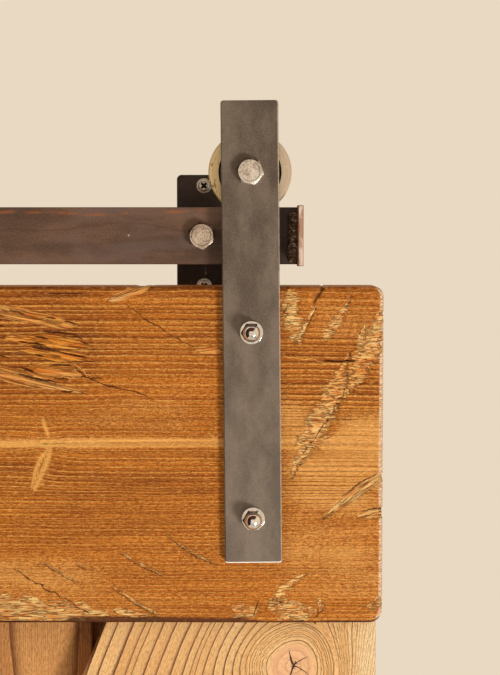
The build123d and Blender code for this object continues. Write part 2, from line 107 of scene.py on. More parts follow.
# %% [markdown]
# ## Small helpers for building node trees
#
# In code each node of a material takes four or five lines, so helpers keep it short: `put` adds a node and
# fills its sockets, with plain values or other nodes' outputs, and `over` lays one colour over another where
# masks say so. Colours are written as they look on a screen, from 0 to 255, and turned into linear numbers.

# %% Node helpers
def screen(red, green, blue):
    """A colour as seen on a screen, from 0 to 255, as linear RGBA."""
    def linear(level):
        level = level / 255
        return level / 12.92 if level <= 0.04045 else ((level + 0.055) / 1.055) ** 2.4
    return (linear(red), linear(green), linear(blue), 1.0)


def fill(tree, node, sockets):
    """Gives each socket a plain value, or a wire where the value is another node's output."""
    for key, value in sockets.items():
        socket = node.inputs[key]
        if isinstance(value, bpy.types.NodeSocket):
            tree.links.new(value, socket)
        else:
            socket.default_value = value


def put(tree, kind, sockets=None, **settings):
    """Adds a node. Settings come first, because some of them change which sockets there are."""
    node = tree.nodes.new(kind)
    for name, value in settings.items():
        setattr(node, name, value)
    fill(tree, node, sockets or {})
    return node


def maths(tree, operation, a, b=0.0, c=0.0):
    node = put(tree, "ShaderNodeMath", {0: a, 1: b, 2: c}, operation=operation)
    return node.outputs[0]


def scale_add(tree, value, factor, rest):
    """A value times a factor, plus the rest."""
    return maths(tree, "MULTIPLY_ADD", value, factor, rest)


print("a mid grey on screen:", round(screen(128, 128, 128)[0], 3))

# %% Sums, colours and noise
def minus(tree, a, b):
    return maths(tree, "SUBTRACT", a, b)


def times(tree, *values):
    """The product of any number of values."""
    product = values[0]
    for value in values[1:]:
        product = maths(tree, "MULTIPLY", product, value)
    return product


def blend(tree, share, a, b):
    """Each colour is a wire, or three numbers as seen on a screen."""
    a, b = (screen(*colour) if isinstance(colour, tuple) else colour for colour in (a, b))
    return put(tree, "ShaderNodeMix", {0: share, 6: a, 7: b}, data_type="RGBA").outputs[2]


def over(tree, base, colour, *shares):
    """Lays a colour over the base, as strongly as the product of the shares says."""
    return blend(tree, times(tree, *shares), base, colour)


def slope(tree, value, start, end, low=0.0, high=1.0):
    """A soft step: low before start, high after end."""
    sockets = {0: value, 1: start, 2: end, 3: low, 4: high}
    return put(tree, "ShaderNodeMapRange", sockets, interpolation_type="SMOOTHSTEP").outputs[0]


def parts_of(tree, vector):
    return put(tree, "ShaderNodeSeparateXYZ", {0: vector}).outputs


def vector_of(tree, x=0.0, y=0.0, z=0.0):
    return put(tree, "ShaderNodeCombineXYZ", {0: x, 1: y, 2: z}).outputs[0]


def scaled(tree, vector, factors):
    return put(tree, "ShaderNodeVectorMath", {0: vector, 1: factors}, operation="MULTIPLY").outputs[0]


def object_place(tree):
    """Object coordinates: a point's place in the piece's own frame, in metres."""
    return put(tree, "ShaderNodeTexCoord").outputs["Object"]


def noise(tree, vector, scale=1.0, detail=2.0, roughness=0.5):
    sockets = {"Vector": vector, "Scale": scale, "Detail": detail, "Roughness": roughness}
    return put(tree, "ShaderNodeTexNoise", sockets).outputs[0]


def streaky(tree, vector, x, y, z, detail):
    """Noise of its own fineness along each axis."""
    return noise(tree, scaled(tree, vector, (x, y, z)), detail=detail)


print("helpers for sums, colours and noise ready")

# %% Helpers for groups and materials
FLOAT = "NodeSocketFloat"
VECTOR = "NodeSocketVector"


def new_group(name, inputs, outputs, kind="ShaderNodeTree"):
    """A node group with named sockets: its tree, its inputs to read and its end node to fill."""
    tree = bpy.data.node_groups.new(name, kind)
    for label, socket_kind, *value in inputs:
        socket = tree.interface.new_socket(label, in_out="INPUT", socket_type=socket_kind)
        if value:
            socket.default_value = value[0]
    for label, socket_kind in outputs:
        tree.interface.new_socket(label, in_out="OUTPUT", socket_type=socket_kind)
    return tree, tree.nodes.new("NodeGroupInput").outputs, tree.nodes.new("NodeGroupOutput")


def use_group(tree, group, sockets):
    """Places a group as one node of another tree and returns its outputs."""
    return put(tree, "ShaderNodeGroup", sockets, node_tree=group).outputs


def new_material(name):
    """An empty material: its tree and its Principled BSDF, already joined to the output."""
    material = bpy.data.materials.new(name)
    material.use_nodes = True
    tree = material.node_tree
    return material, tree, tree.nodes["Principled BSDF"]


def bumped(tree, shader, height, distance):
    bump = put(tree, "ShaderNodeBump", {"Height": height, "Distance": distance})
    fill(tree, shader, {"Normal": bump.outputs[0]})


print("group and material helpers ready")

# %% [markdown]
# ## Daylight from three lamps
#
# The photograph has soft daylight from the lower right: the strap's shadow falls to the left, and the lower
# flank of every raised line in the wood is the bright one. An area lamp gives such a key light, a weaker one
# opposite keeps the shadows open, and one behind lights the back for the other views. A black flag under the
# key keeps its light off the floor. It fades out towards its rim, so that its shadow has no edge.

# %% Lamps
def add_lamp(name, place, target, size, power, colour, mirrored=True):
    data = bpy.data.lights.new(name, "AREA")
    data.shape = "DISK"
    data.size = size
    data.energy = power
    data.color = colour
    lamp = new_object(name, data)
    lamp.location = place
    lamp.rotation_euler = (Vector(target) - Vector(place)).to_track_quat("-Z", "Y").to_euler()
    lamp.visible_glossy = mirrored


add_lamp("key", (2.5, -2.1, -1.35), (0.9, -0.07, -0.2), 0.7, 58, (1.0, 0.955, 0.89))
add_lamp("fill", (-1.9, -2.6, 1.3), (0.3, -0.07, -0.9), 2.2, 38, (1.0, 0.98, 0.95), mirrored=False)
add_lamp("back", (-1.2, 2.9, 0.9), (0.3, 0.0, -0.9), 2.4, 80, (1.0, 0.97, 0.93), mirrored=False)
print("lamps:", len(bpy.data.lights))

# %% Flag under the key
FLAG_LEVEL = -1.75


def add_sheet(name, corners, colour, roughness=0.9):
    """A flat sheet that belongs to the studio and not to the door."""
    mesh = bpy.data.meshes.new(name)
    mesh.from_pydata(corners, [], [(0, 1, 2, 3)])
    material, tree, shader = new_material(name)
    fill(tree, shader, {"Base Color": screen(*colour), "Roughness": roughness})
    mesh.materials.append(material)
    sheet = new_object(name, mesh)
    sheet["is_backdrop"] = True
    return sheet


def level_corners(left, right, near, far, level):
    """The corners of a level sheet."""
    return [(left, near, level), (right, near, level), (right, far, level), (left, far, level)]


def fade_out(sheet, middle, full, gone):
    """The sheet is whole within one distance from its middle and clear beyond the other."""
    tree = sheet.data.materials[0].node_tree
    sockets = {0: object_place(tree), 1: middle}
    away = put(tree, "ShaderNodeVectorMath", sockets, operation="DISTANCE").outputs["Value"]
    fill(tree, tree.nodes["Principled BSDF"], {"Alpha": slope(tree, away, gone, full)})


def hide_from(sheet, *rays):
    for ray in rays:
        setattr(sheet, f"visible_{ray}", False)


flag = add_sheet("flag under the key", level_corners(1.3, 4.1, -3.8, -0.9, FLAG_LEVEL), (0, 0, 0))
fade_out(flag, (2.85, -2.45, FLAG_LEVEL), 0.3, 1.3)
hide_from(flag, "camera", "diffuse", "glossy", "transmission")
print("flag at", FLAG_LEVEL)

# %% [markdown]
# ## A cream world and two dark cards
#
# The world is a plain cream. Rays from the camera and mirror-like rays see it paler than the light that it
# gives, so the background is pale without more light on the object. Polished metal shows what stands round
# it and looks flat in an empty studio, so it gets a dark card on the left and a brown one above to mirror.
# The cards are seen in reflections and nowhere else.

# %% World
WORLD_LIGHT = 0.37
scene.view_settings.view_transform = "Standard"
world = bpy.data.worlds.new("studio")
scene.world = world
world.use_nodes = True
tree = world.node_tree
tree.nodes.clear()


def glow(colour, strength):
    sockets = {"Color": screen(*colour), "Strength": strength}
    return put(tree, "ShaderNodeBackground", sockets).outputs[0]


rays = put(tree, "ShaderNodeLightPath").outputs
seen = maths(tree, "MAXIMUM", rays["Is Camera Ray"], rays["Is Glossy Ray"])
seen = maths(tree, "MAXIMUM", seen, rays["Is Transmission Ray"])
light = glow((255, 248, 238), WORLD_LIGHT)
shown = glow((234, 217, 194), 1.0)
mixed = put(tree, "ShaderNodeMixShader", {0: seen, 1: light, 2: shown}).outputs[0]
put(tree, "ShaderNodeOutputWorld", {"Surface": mixed})
print("world:", world.name, "at", WORLD_LIGHT)

# %% Cards to mirror
side_corners = [(-0.4, -2.4, -1.7), (-0.4, -0.2, -1.7), (-0.4, -0.2, 1.4), (-0.4, -2.4, 1.4)]
cards = [
    add_sheet("dark side card", side_corners, (34, 25, 20), 1.0),
    add_sheet("brown top card", level_corners(-0.6, 2.0, -2.4, -0.2, 1.2), (84, 46, 30), 1.0),
]
for card in cards:
    hide_from(card, "camera", "diffuse", "transmission", "shadow")
print("cards:", [card.name for card in cards])

# %% [markdown]
# ## The floor
#
# The door hangs just clear of a pale floor, which keeps its shadow. A floor with an edge would draw a line
# behind the door, so this one fades into the background at its rim.

# %% Floor
FLOOR_SIZE = 11.0
FLOOR_DROP = 0.012
floor_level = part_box("bottom_rail")[0].z - FLOOR_DROP
half = FLOOR_SIZE / 2
floor = add_sheet("pale floor", level_corners(-half, half, -half, half, floor_level), (232, 224, 212))
fade_out(floor, (0, 0, floor_level), 3.0, 5.3)
print("floor at", round(floor_level, 3))

# %% [markdown]
# ## Growth rings and fibres
#
# Softwood shows two things at once: growth rings, whose hard late wood stands out as a raised line when the
# soft wood beside it is brushed away, and much finer fibres that run along the plank. Both follow the same
# flow, so every plank carries a `grain` vector: how far a point is along the fibres, how far across them,
# and how many rings lie before it. Two node groups read that vector. `growth rings` turns the ring count
# into a raised line, painted shade in the hollow above it, the late wood as unbrushed wood shows it, and a
# tone that differs from ring to ring. `fibres` gives fine streaks, dark pores, light glints and a dusting of
# dark points. The stops of the ring lines are shares of a ring's width, from its inner side to its outer
# side.

# %% Growth rings group
RISE = (0.62, 0.84)
FALL = (0.92, 1.0)
# Where the painted shade in the hollow above each raised line starts and ends.
TROUGH_START = (0.34, 0.56)
TROUGH_END = (0.76, 0.62)
DARKENING = (0.58, 0.98)
DARK_END = (1.0, 0.975)

rings_group, given, result = new_group(
    "growth rings",
    [("Grain", VECTOR), ("Seed", FLOAT, 0.0)],
    [("Ridge", FLOAT), ("Trough", FLOAT), ("Late wood", FLOAT), ("Tone", FLOAT)],
)
tree = rings_group
along, _, count = parts_of(tree, given["Grain"])
within = maths(tree, "FRACT", count)
ridge = times(tree, slope(tree, within, *RISE), slope(tree, within, *FALL, 1.0, 0.0))
trough = times(tree, slope(tree, within, *TROUGH_START), slope(tree, within, *TROUGH_END))
darkening = times(tree, slope(tree, within, *DARKENING), slope(tree, within, *DARK_END))
number = maths(tree, "ADD", maths(tree, "FLOOR", count), given["Seed"])
slowly = vector_of(tree, times(tree, along, 7.0), times(tree, number, 7.31))
tone = slope(tree, noise(tree, slowly, detail=1), 0.3, 0.7)
late = times(tree, darkening, darkening)
fill(tree, result, {"Ridge": ridge, "Trough": trough, "Late wood": late, "Tone": tone})
print("group:", rings_group.name)

# %% Fibres group
fibres_group, given, result = new_group(
    "fibres",
    [("Grain", VECTOR), ("Place", VECTOR), ("Fineness", FLOAT, 1.0)],
    [("Streaks", FLOAT), ("Pores", FLOAT), ("Glints", FLOAT), ("Points", FLOAT)],
)
tree = fibres_group
fine = put(tree, "ShaderNodeVectorMath", {0: given["Grain"], "Scale": given["Fineness"]}, operation="SCALE")
streaks = streaky(tree, fine.outputs[0], 22, 900, 0, 3)
flecks = streaky(tree, fine.outputs[0], 260, 1900, 0, 1)
dust = streaky(tree, given["Place"], 760, 760, 1150, 2)
fill(tree, result, {
    "Streaks": slope(tree, streaks, 0.3, 0.7),
    "Pores": slope(tree, flecks, 0.54, 0.68),
    "Glints": slope(tree, flecks, 0.46, 0.33),
    "Points": slope(tree, dust, 0.47, 0.62),
})
print("group:", fibres_group.name)

# %% [markdown]
# ## The stained wood of the rails
#
# The rails are honey-stained and oiled. Stain sinks into the soft wood and leaves the raised late wood
# lighter, so the ridge is the light part here, not the dark one as on bare wood. The carved mesh tells the
# material the rest as attributes: `tint` holds the slow changes of shade, the strength of the ring lines and
# the height above the lower edge, which has darkened with handling; `torn` is high where the axe has torn
# the plank, with `fibre` as the torn fibres' own coordinates; `crack` holds the distance from a thin dark
# line and its half width, and one more attribute does the same for thin pale lines. These are the knot's
# figure and the pale band, and also painted highlights on slivers and on the lit lower lips of cracks. A
# distance changes evenly from point to point, so such a line stays sharp although the mesh is coarser than
# the line is thick.

# %% Reading a surface
def surface_direction(tree):
    return parts_of(tree, put(tree, "ShaderNodeNewGeometry").outputs["Normal"])


def attribute(tree, name, output):
    return put(tree, "ShaderNodeAttribute", attribute_name=name).outputs[output]


def thin_line(tree, name, wander):
    """How much a point lies in a line that the mesh carries as distance, half width and softness."""
    distance, half_width, softness = parts_of(tree, attribute(tree, name, "Vector"))
    beyond = minus(tree, maths(tree, "ABSOLUTE", distance), half_width)
    beyond = maths(tree, "ADD", beyond, wander)
    return slope(tree, beyond, softness, times(tree, softness, -1.0))


print("surface helpers ready")

# %% The stain
def stained_base(tree, place, grain, rings, fibres, golden, deep, contrast):
    """The planed wood: its body colour, then the painted shade of the troughs, the raised lines and the
    finest marks.
    """
    tone = scale_add(tree, fibres["Streaks"], 0.5, times(tree, rings["Tone"], 0.5))
    base = blend(tree, tone, (164, 84, 16), (220, 132, 42))
    light = blend(tree, tone, (217, 142, 64), (250, 184, 104))
    base = over(tree, base, light, golden)
    dark = blend(tree, tone, (104, 46, 8), (190, 104, 28))
    base = over(tree, base, dark, deep)
    drawn = slope(tree, contrast, 0.0, 1.0, 0.04, 0.85)
    # Painted shade: the hollow above each raised line is darkened as the side that the light from below
    # misses.
    base = over(tree, base, (106, 44, 0), rings["Trough"], drawn)
    clouds = streaky(tree, place, 9, 9, 30, 3)
    line = blend(tree, clouds, (224, 140, 50), (255, 192, 100))
    uneven = slope(tree, streaky(tree, grain, 14, 240, 0, 2), 0.3, 0.6, 0.45, 1.0)
    raised = slope(tree, contrast, 0.0, 1.0, 0.62, 1.0)
    base = over(tree, base, line, rings["Ridge"], uneven, raised)
    plain = slope(tree, golden, 0.3, 1.0, 1.0, 0.4)
    base = over(tree, base, (255, 198, 116), fibres["Glints"], 0.28)
    base = over(tree, base, (132, 58, 4), fibres["Points"], plain, 0.5)
    return over(tree, base, (112, 48, 2), fibres["Pores"], plain, 0.45)


def sawn_ends(tree, base, place, rings, facing):
    """The sawn ends are painted pale: furry end grain, and partly a painted highlight on their rounded edges.
    """
    fuzz = streaky(tree, place, 500, 500, 1100, 2)
    sideways = slope(tree, maths(tree, "ABSOLUTE", facing[0]), 0.08, 0.34)
    pale = blend(tree, slope(tree, fuzz, 0.35, 0.62), (214, 158, 112), (250, 224, 188))
    pale = over(tree, pale, (196, 126, 82), rings["Ridge"], 0.5)
    return over(tree, base, pale, sideways, attribute(tree, "end", "Fac"), 0.92)


def handled_edge(tree, place, facing, above_edge):
    """How dark the lower edge and the underside have become with handling."""
    ragged = streaky(tree, place, 60, 60, 200, 3)
    handled = slope(tree, scale_add(tree, ragged, 4.0, above_edge), 7.4, 5.6)
    below = times(tree, slope(tree, facing[2], -0.25, -0.7), slope(tree, above_edge, 12.0, 7.0))
    return maths(tree, "MAXIMUM", times(tree, handled, 0.86), below)


print("stain ready")

# %% Torn fibres
def torn_fibres(tree, deep):
    """How torn a point is, the colour of its fibres, their relief and the painted shade in the creases
    between them.
    """
    own = attribute(tree, "fibre", "Vector")
    rags = noise(tree, own, detail=3)
    tone = slope(tree, streaky(tree, own, 0.7, 1.5, 1.0, 3), 0.32, 0.68)
    ragged = minus(tree, rags, 0.5)
    torn = scale_add(tree, ragged, 0.8, attribute(tree, "torn", "Fac"))
    torn = slope(tree, torn, 0.42, 0.56)
    creased = minus(tree, streaky(tree, own, 0.5, 0.95, 1.7, 2), 0.47)
    crease = slope(tree, maths(tree, "ABSOLUTE", creased), 0.05, 0.012)
    pale = blend(tree, tone, (226, 140, 66), (255, 216, 140))
    gold = blend(tree, tone, (212, 108, 22), (255, 176, 74))
    colour = blend(tree, deep, pale, gold)
    # Painted shade: the creases between the torn fibres are darkened.
    colour = over(tree, colour, (122, 52, 14), crease, 0.75)
    lifted = scale_add(tree, crease, -2.2, times(tree, rags, 4.4))
    return torn, colour, lifted


print("torn fibres ready")

# %% Stained wood
def make_stained_wood():
    material, tree, shader = new_material("stained wood")
    grain = attribute(tree, "grain", "Vector")
    place = object_place(tree)
    facing = surface_direction(tree)
    rings = use_group(tree, rings_group, {"Grain": grain, "Seed": 0.0})
    fibres = use_group(tree, fibres_group, {"Grain": grain, "Place": place, "Fineness": 1.0})
    shade, contrast, above_edge = parts_of(tree, attribute(tree, "tint", "Vector"))
    golden = slope(tree, shade, 0.0, 1.0)
    deep = slope(tree, shade, 0.0, -1.0)
    base = stained_base(tree, place, grain, rings, fibres, golden, deep, contrast)
    base = sawn_ends(tree, base, place, rings, facing)
    torn, splinter, lifted = torn_fibres(tree, deep)
    base = over(tree, base, splinter, torn, 0.94)
    base = over(tree, base, (68, 31, 18), handled_edge(tree, place, facing, above_edge))
    wander = scale_add(tree, noise(tree, place, 520, 2), 0.9, -0.45)
    # Pale lines: the knot's figure and the pale band, and painted highlights on slivers and on the lit lower
    # lips of cracks.
    vein = thin_line(tree, "vein", times(tree, wander, 0.5))
    base = over(tree, base, (252, 184, 96), vein, 0.72)
    crack = thin_line(tree, "crack", wander)
    base = over(tree, base, (70, 30, 8), crack, 0.88)
    rough = scale_add(tree, fibres["Pores"], 0.12, scale_add(tree, torn, 0.25, 0.5))
    fill(tree, shader, {"Base Color": base, "Roughness": rough, "Specular IOR Level": 0.16})
    height = scale_add(tree, fibres["Streaks"], 0.35, times(tree, rings["Ridge"], 0.7))
    height = scale_add(tree, fibres["Pores"], -0.5, height)
    height = scale_add(tree, fibres["Points"], -0.5, height)
    height = scale_add(tree, torn, lifted, height)
    bumped(tree, shader, height, 0.0003)
    return material


stained_wood = make_stained_wood()
print("material:", stained_wood.name)

# %% [markdown]
# ## The light wood of the brace
#
# The brace is the same kind of fir, planed and left light. Here the late wood keeps its own brown, as a thin
# line that is sharp on the outer side of each ring and fades on the inner side. `torn` marks the round heart
# of a branch, and `crack` its drying cracks.

# %% Light wood
BRACE_PALE_FROM = 1.052


def make_brace_wood():
    material, tree, shader = new_material("light brace wood")
    grain = attribute(tree, "grain", "Vector")
    knot = attribute(tree, "torn", "Fac")
    place = object_place(tree)
    rings = use_group(tree, rings_group, {"Grain": grain, "Seed": 7.0})
    fibres = use_group(tree, fibres_group, {"Grain": grain, "Place": place, "Fineness": 1.1})
    clouds = streaky(tree, place, 5, 5, 5, 3)
    tone = scale_add(tree, fibres["Streaks"], 0.55, times(tree, rings["Tone"], 0.35))
    base = blend(tree, tone, (236, 174, 104), (255, 214, 150))
    base = over(tree, base, (214, 152, 88), slope(tree, clouds, 0.4, 0.75, 0.0, 0.5))
    outer = slope(tree, parts_of(tree, grain)[1], BRACE_PALE_FROM, BRACE_PALE_FROM + 0.02)
    base = over(tree, base, (255, 222, 168), outer, 0.8)
    strength = scale_add(tree, rings["Tone"], 0.3, 0.9)
    strength = times(tree, strength, slope(tree, outer, 0.0, 1.0, 1.0, 0.6))
    base = over(tree, base, (98, 40, 0), rings["Late wood"], strength)
    base = over(tree, base, (156, 98, 48), fibres["Pores"], 0.3)
    base = over(tree, base, (170, 112, 62), fibres["Points"], 0.2)
    heart = blend(tree, clouds, (222, 158, 108), (244, 190, 144))
    base = over(tree, base, heart, knot, 0.75)
    wander = scale_add(tree, noise(tree, place, 420, 2), 0.5, -0.25)
    base = over(tree, base, (66, 30, 12), thin_line(tree, "crack", wander))
    fill(tree, shader, {"Base Color": base, "Roughness": 0.6, "Specular IOR Level": 0.35})
    height = scale_add(tree, fibres["Streaks"], 0.5, times(tree, rings["Late wood"], -1.6))
    bumped(tree, shader, minus(tree, height, fibres["Pores"]), 0.0002)
    return material


brace_wood = make_brace_wood()
print("material:", brace_wood.name)

# %% [markdown]
# ## The boards
#
# Behind the rails stand four plain boards, sawn flat from the log. A ring is a cylinder round the heart of
# the tree, so a board's face cuts it in long arches: wide and pale in the middle, crowded towards the edges.
# The boards keep their CAD shape, tongues and grooves included, and the arches are worked out in the
# material from the distance to a heart line that lies somewhere below the face. Knots are scattered with a
# Voronoi texture, and the rings are pushed aside round each one like water round a stone.

# %% Flat-sawn grain group
KNOT_RADIUS = 0.009
KNOT_SQUEEZE = 0.35
KNOT_RING_WIDTH = 0.0016
HEART_DEPTH = 0.124
RING_WIDTH = 0.007
HEARTWOOD_FROM = (0.021, 0.026)
SAPWOOD_FROM = (-0.022, -0.03)

board_grain, given, result = new_group(
    "flat-sawn grain",
    [("Place", VECTOR), ("Heart", FLOAT, 0.0), ("Seed", FLOAT, 0.0)],
    [("Grain", VECTOR), ("Knot", FLOAT), ("Heartwood", FLOAT), ("Sapwood", FLOAT)],
)
tree = board_grain
parts = parts_of(tree, given["Place"])
shifted = maths(tree, "ADD", parts[2], given["Seed"])
sparse = vector_of(tree, parts[0], times(tree, shifted, KNOT_SQUEEZE))
cells = put(tree, "ShaderNodeTexVoronoi", {"Vector": sparse, "Scale": 5.0}, voronoi_dimensions="2D").outputs
centre = parts_of(tree, cells["Position"])
across = minus(tree, parts[0], centre[0])
along = minus(tree, shifted, maths(tree, "DIVIDE", centre[1], KNOT_SQUEEZE))
reach = scale_add(tree, across, across, times(tree, along, along, 0.3))
push = maths(tree, "DIVIDE", KNOT_RADIUS**2, maths(tree, "MAXIMUM", reach, KNOT_RADIUS**2))
pushed = minus(tree, parts[0], times(tree, across, push))
slow = vector_of(tree, y=given["Seed"], z=times(tree, parts[2], 2.2))
sway = minus(tree, noise(tree, slow, detail=3), 0.5)
side = minus(tree, pushed, given["Heart"])
side = scale_add(tree, sway, 0.012, side)
depth = maths(tree, "ADD", scale_add(tree, sway, -0.02, HEART_DEPTH), parts[1])
radius = maths(tree, "SQRT", scale_add(tree, side, side, times(tree, depth, depth)))
quiver = streaky(tree, given["Place"], 60, 60, 9, 2)
count = scale_add(tree, quiver, 0.3, maths(tree, "DIVIDE", radius, RING_WIDTH))
from_knot = maths(tree, "SQRT", reach)
inside = slope(tree, from_knot, KNOT_RADIUS * 1.05, KNOT_RADIUS * 0.9)
knot_rings = maths(tree, "DIVIDE", from_knot, KNOT_RING_WIDTH)
count = put(tree, "ShaderNodeMix", {0: inside, 2: count, 3: knot_rings}, data_type="FLOAT").outputs[0]
fill(tree, result, {
    "Grain": vector_of(tree, parts[2], pushed, count),
    "Knot": inside,
    "Heartwood": slope(tree, side, *HEARTWOOD_FROM),
    "Sapwood": slope(tree, side, *SAPWOOD_FROM),
})
print("group:", board_grain.name)

# %% Board wood
def make_board_wood(name, heart, seed):
    material, tree, shader = new_material(name)
    place = object_place(tree)
    sawn = use_group(tree, board_grain, {"Place": place, "Heart": heart, "Seed": seed})
    rings = use_group(tree, rings_group, {"Grain": sawn["Grain"], "Seed": seed})
    fibres = use_group(tree, fibres_group, {"Grain": sawn["Grain"], "Place": place, "Fineness": 0.9})
    tone = scale_add(tree, fibres["Streaks"], 0.5, times(tree, rings["Tone"], 0.5))
    base = blend(tree, tone, (198, 132, 70), (230, 168, 100))
    base = over(tree, base, (150, 84, 38), sawn["Heartwood"], 0.72)
    base = over(tree, base, (176, 108, 54), sawn["Sapwood"], 0.3)
    base = over(tree, base, (112, 58, 20), rings["Late wood"], 0.9)
    base = over(tree, base, (120, 70, 34), fibres["Pores"], 0.28)
    base = over(tree, base, (134, 80, 40), fibres["Points"], 0.2)
    base = over(tree, base, (112, 58, 26), sawn["Knot"], 0.8)
    fill(tree, shader, {"Base Color": base, "Roughness": 0.62, "Specular IOR Level": 0.3})
    height = maths(tree, "ADD", rings["Late wood"], fibres["Streaks"])
    bumped(tree, shader, minus(tree, height, fibres["Pores"]), 0.0003)
    return material


def dress(piece, material):
    """Gives a piece one material, in its first slot."""
    piece.data.materials.clear()
    piece.data.materials.append(material)


HEART_PLACES = {"board_1": -0.012, "board_2": 0.02, "board_3": 0.068, "board_4": -0.018}
for i, (name, shift) in enumerate(HEART_PLACES.items()):
    low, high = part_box(name)
    wood = make_board_wood(name.replace("_", " ") + " wood", (low.x + high.x) / 2 + shift, 3.7 * i)
    dress(nodes[name], wood)
print("boards dressed:", len(HEART_PLACES))

# %% [markdown]
# ## Noise and rings in NumPy
#
# The planks of the frame are carved as meshes, so the same ideas are needed outside the shader. Lattice
# noise is the simplest kind: random numbers on a grid, blended smoothly between. Ring lines are placed one
# after another with widths drawn from a seeded generator, and `rings_before` counts them at any distance.
# All lengths in these cells are in millimetres, and the mesh is scaled to metres at the end.

# %% Noise and rings
LATTICE = 256


def lattice_noise(x, y, seed):
    """Smooth noise from -1 to 1, with about one bump per unit."""
    table = np.random.default_rng(seed).uniform(-1, 1, (LATTICE, LATTICE))
    x0 = np.floor(x).astype(int)
    y0 = np.floor(y).astype(int)
    u = x - x0
    v = y - y0
    u = u * u * (3 - 2 * u)
    v = v * v * (3 - 2 * v)
    a, b = x0 % LATTICE, (x0 + 1) % LATTICE
    c, d = y0 % LATTICE, (y0 + 1) % LATTICE
    low = table[a, c] * (1 - u) + table[b, c] * u
    high = table[a, d] * (1 - u) + table[b, d] * u
    return low * (1 - v) + high * v


def soft_step(value, start, end):
    """0 before start, 1 after end, smooth between."""
    share = np.clip((value - start) / (end - start), 0, 1)
    return share * share * (3 - 2 * share)


def ring_lines(start, end, widths, seed):
    """The places of ring lines from start to end; widths(place) is the usual width there."""
    rng = np.random.default_rng(seed)
    lines = [start]
    while lines[-1] < end:
        lines.append(lines[-1] + widths(lines[-1]) * rng.uniform(0.4, 1.65))
    return np.array(lines)


def rings_before(across, lines):
    before = np.clip(np.searchsorted(lines, across) - 1, 0, len(lines) - 2)
    return before + (across - lines[before]) / (lines[before + 1] - lines[before])


def ridge_height(rings):
    """The same raised line as in the growth rings group, from 0 to 1."""
    within = rings % 1.0
    return soft_step(within, *RISE) * (1 - soft_step(within, *FALL))


print("noise sample:", np.round(lattice_noise(np.array([0.5, 3.2]), np.array([0.5, 7.7]), 1), 3))

# %% [markdown]
# ## A plank as a carved mesh
#
# A plank could be a box with a displacement modifier, but the modifier moves points evenly and its result
# is hard to steer. Here the front is a grid of points whose depth is worked out directly, with more points
# where the camera looks. The grid's rim is pulled back to the rear face as four walls, and one flat face
# closes the back, so the mesh is a closed solid that stays inside the CAD plank. What the material needs is
# stored on the points: the grain vector and whatever fields the carving gives.

# %% Steps and mesh helpers
WALL_STEPS = (0.12, 0.25, 0.4, 0.55, 0.7, 0.85, 1.0)
WALL_WAVE = 0.35
SHARP_ANGLE = math.radians(38)


def edge_steps(radius, count):
    """Distances from an edge that are evenly spaced round its rounding."""
    return radius * (1 - np.cos(np.linspace(0, math.pi / 2, count + 1)))


def rounded(distance, radius):
    """How far a round edge has dropped at a distance inside it."""
    missing = np.clip(radius - distance, 0, radius)
    return radius - np.sqrt(radius**2 - missing**2)


def stepped(stops):
    """Places that run through stops of (place, step), each step holding up to the next place."""
    places = []
    for (start, step), (end, _) in zip(stops, stops[1:]):
        number = max(1, round((end - start) / step))
        places += list(np.linspace(start, end, number, endpoint=False))
    return np.array(places + [stops[-1][0]])


def over_the_edge(label, values, share):
    """What is left of a field at a share of the way from the front to the back."""
    if label == "torn":
        return values * (1 - share) ** 2
    if label in ("crack", "vein"):
        return values - np.array([0, 4 * share, 0])
    return values


def close_mesh(name, points, faces):
    """A mesh from points in millimetres, with its faces turned outwards."""
    mesh = bpy.data.meshes.new(name)
    mesh.from_pydata((points * MM).tolist(), [], faces)
    edit = bmesh.new()
    edit.from_mesh(mesh)
    bmesh.ops.recalc_face_normals(edit, faces=edit.faces)
    edit.to_mesh(mesh)
    edit.free()
    print(name, "faces:", len(mesh.polygons))
    return mesh


def store_field(mesh, label, values):
    """Keeps one number or one vector for each point as a named attribute."""
    kind, member = ("FLOAT_VECTOR", "vector") if values.shape[1] == 3 else ("FLOAT", "value")
    data = np.ascontiguousarray(values, np.float32).ravel()
    mesh.attributes.new(label, kind, "POINT").data.foreach_set(member, data)


print("mesh helpers ready")

# %% Plank builder
def wall_points(front, back, middle, share):
    """The rim of the front, moved a share of the way to the back and drawn in by a slow wave."""
    wall = front.copy()
    wall[:, 1] += (back - wall[:, 1]) * share
    inward = (middle - wall) * (1, 0, 1)
    inward /= np.linalg.norm(inward, axis=1, keepdims=True)
    wave = WALL_WAVE * (0.5 + 0.5 * lattice_noise(wall[:, 0] / 40, wall[:, 2] / 40 + 9 * share, 5))
    return wall + inward * (wave * (1 - share) * min(1.0, 4 * share))[:, None]


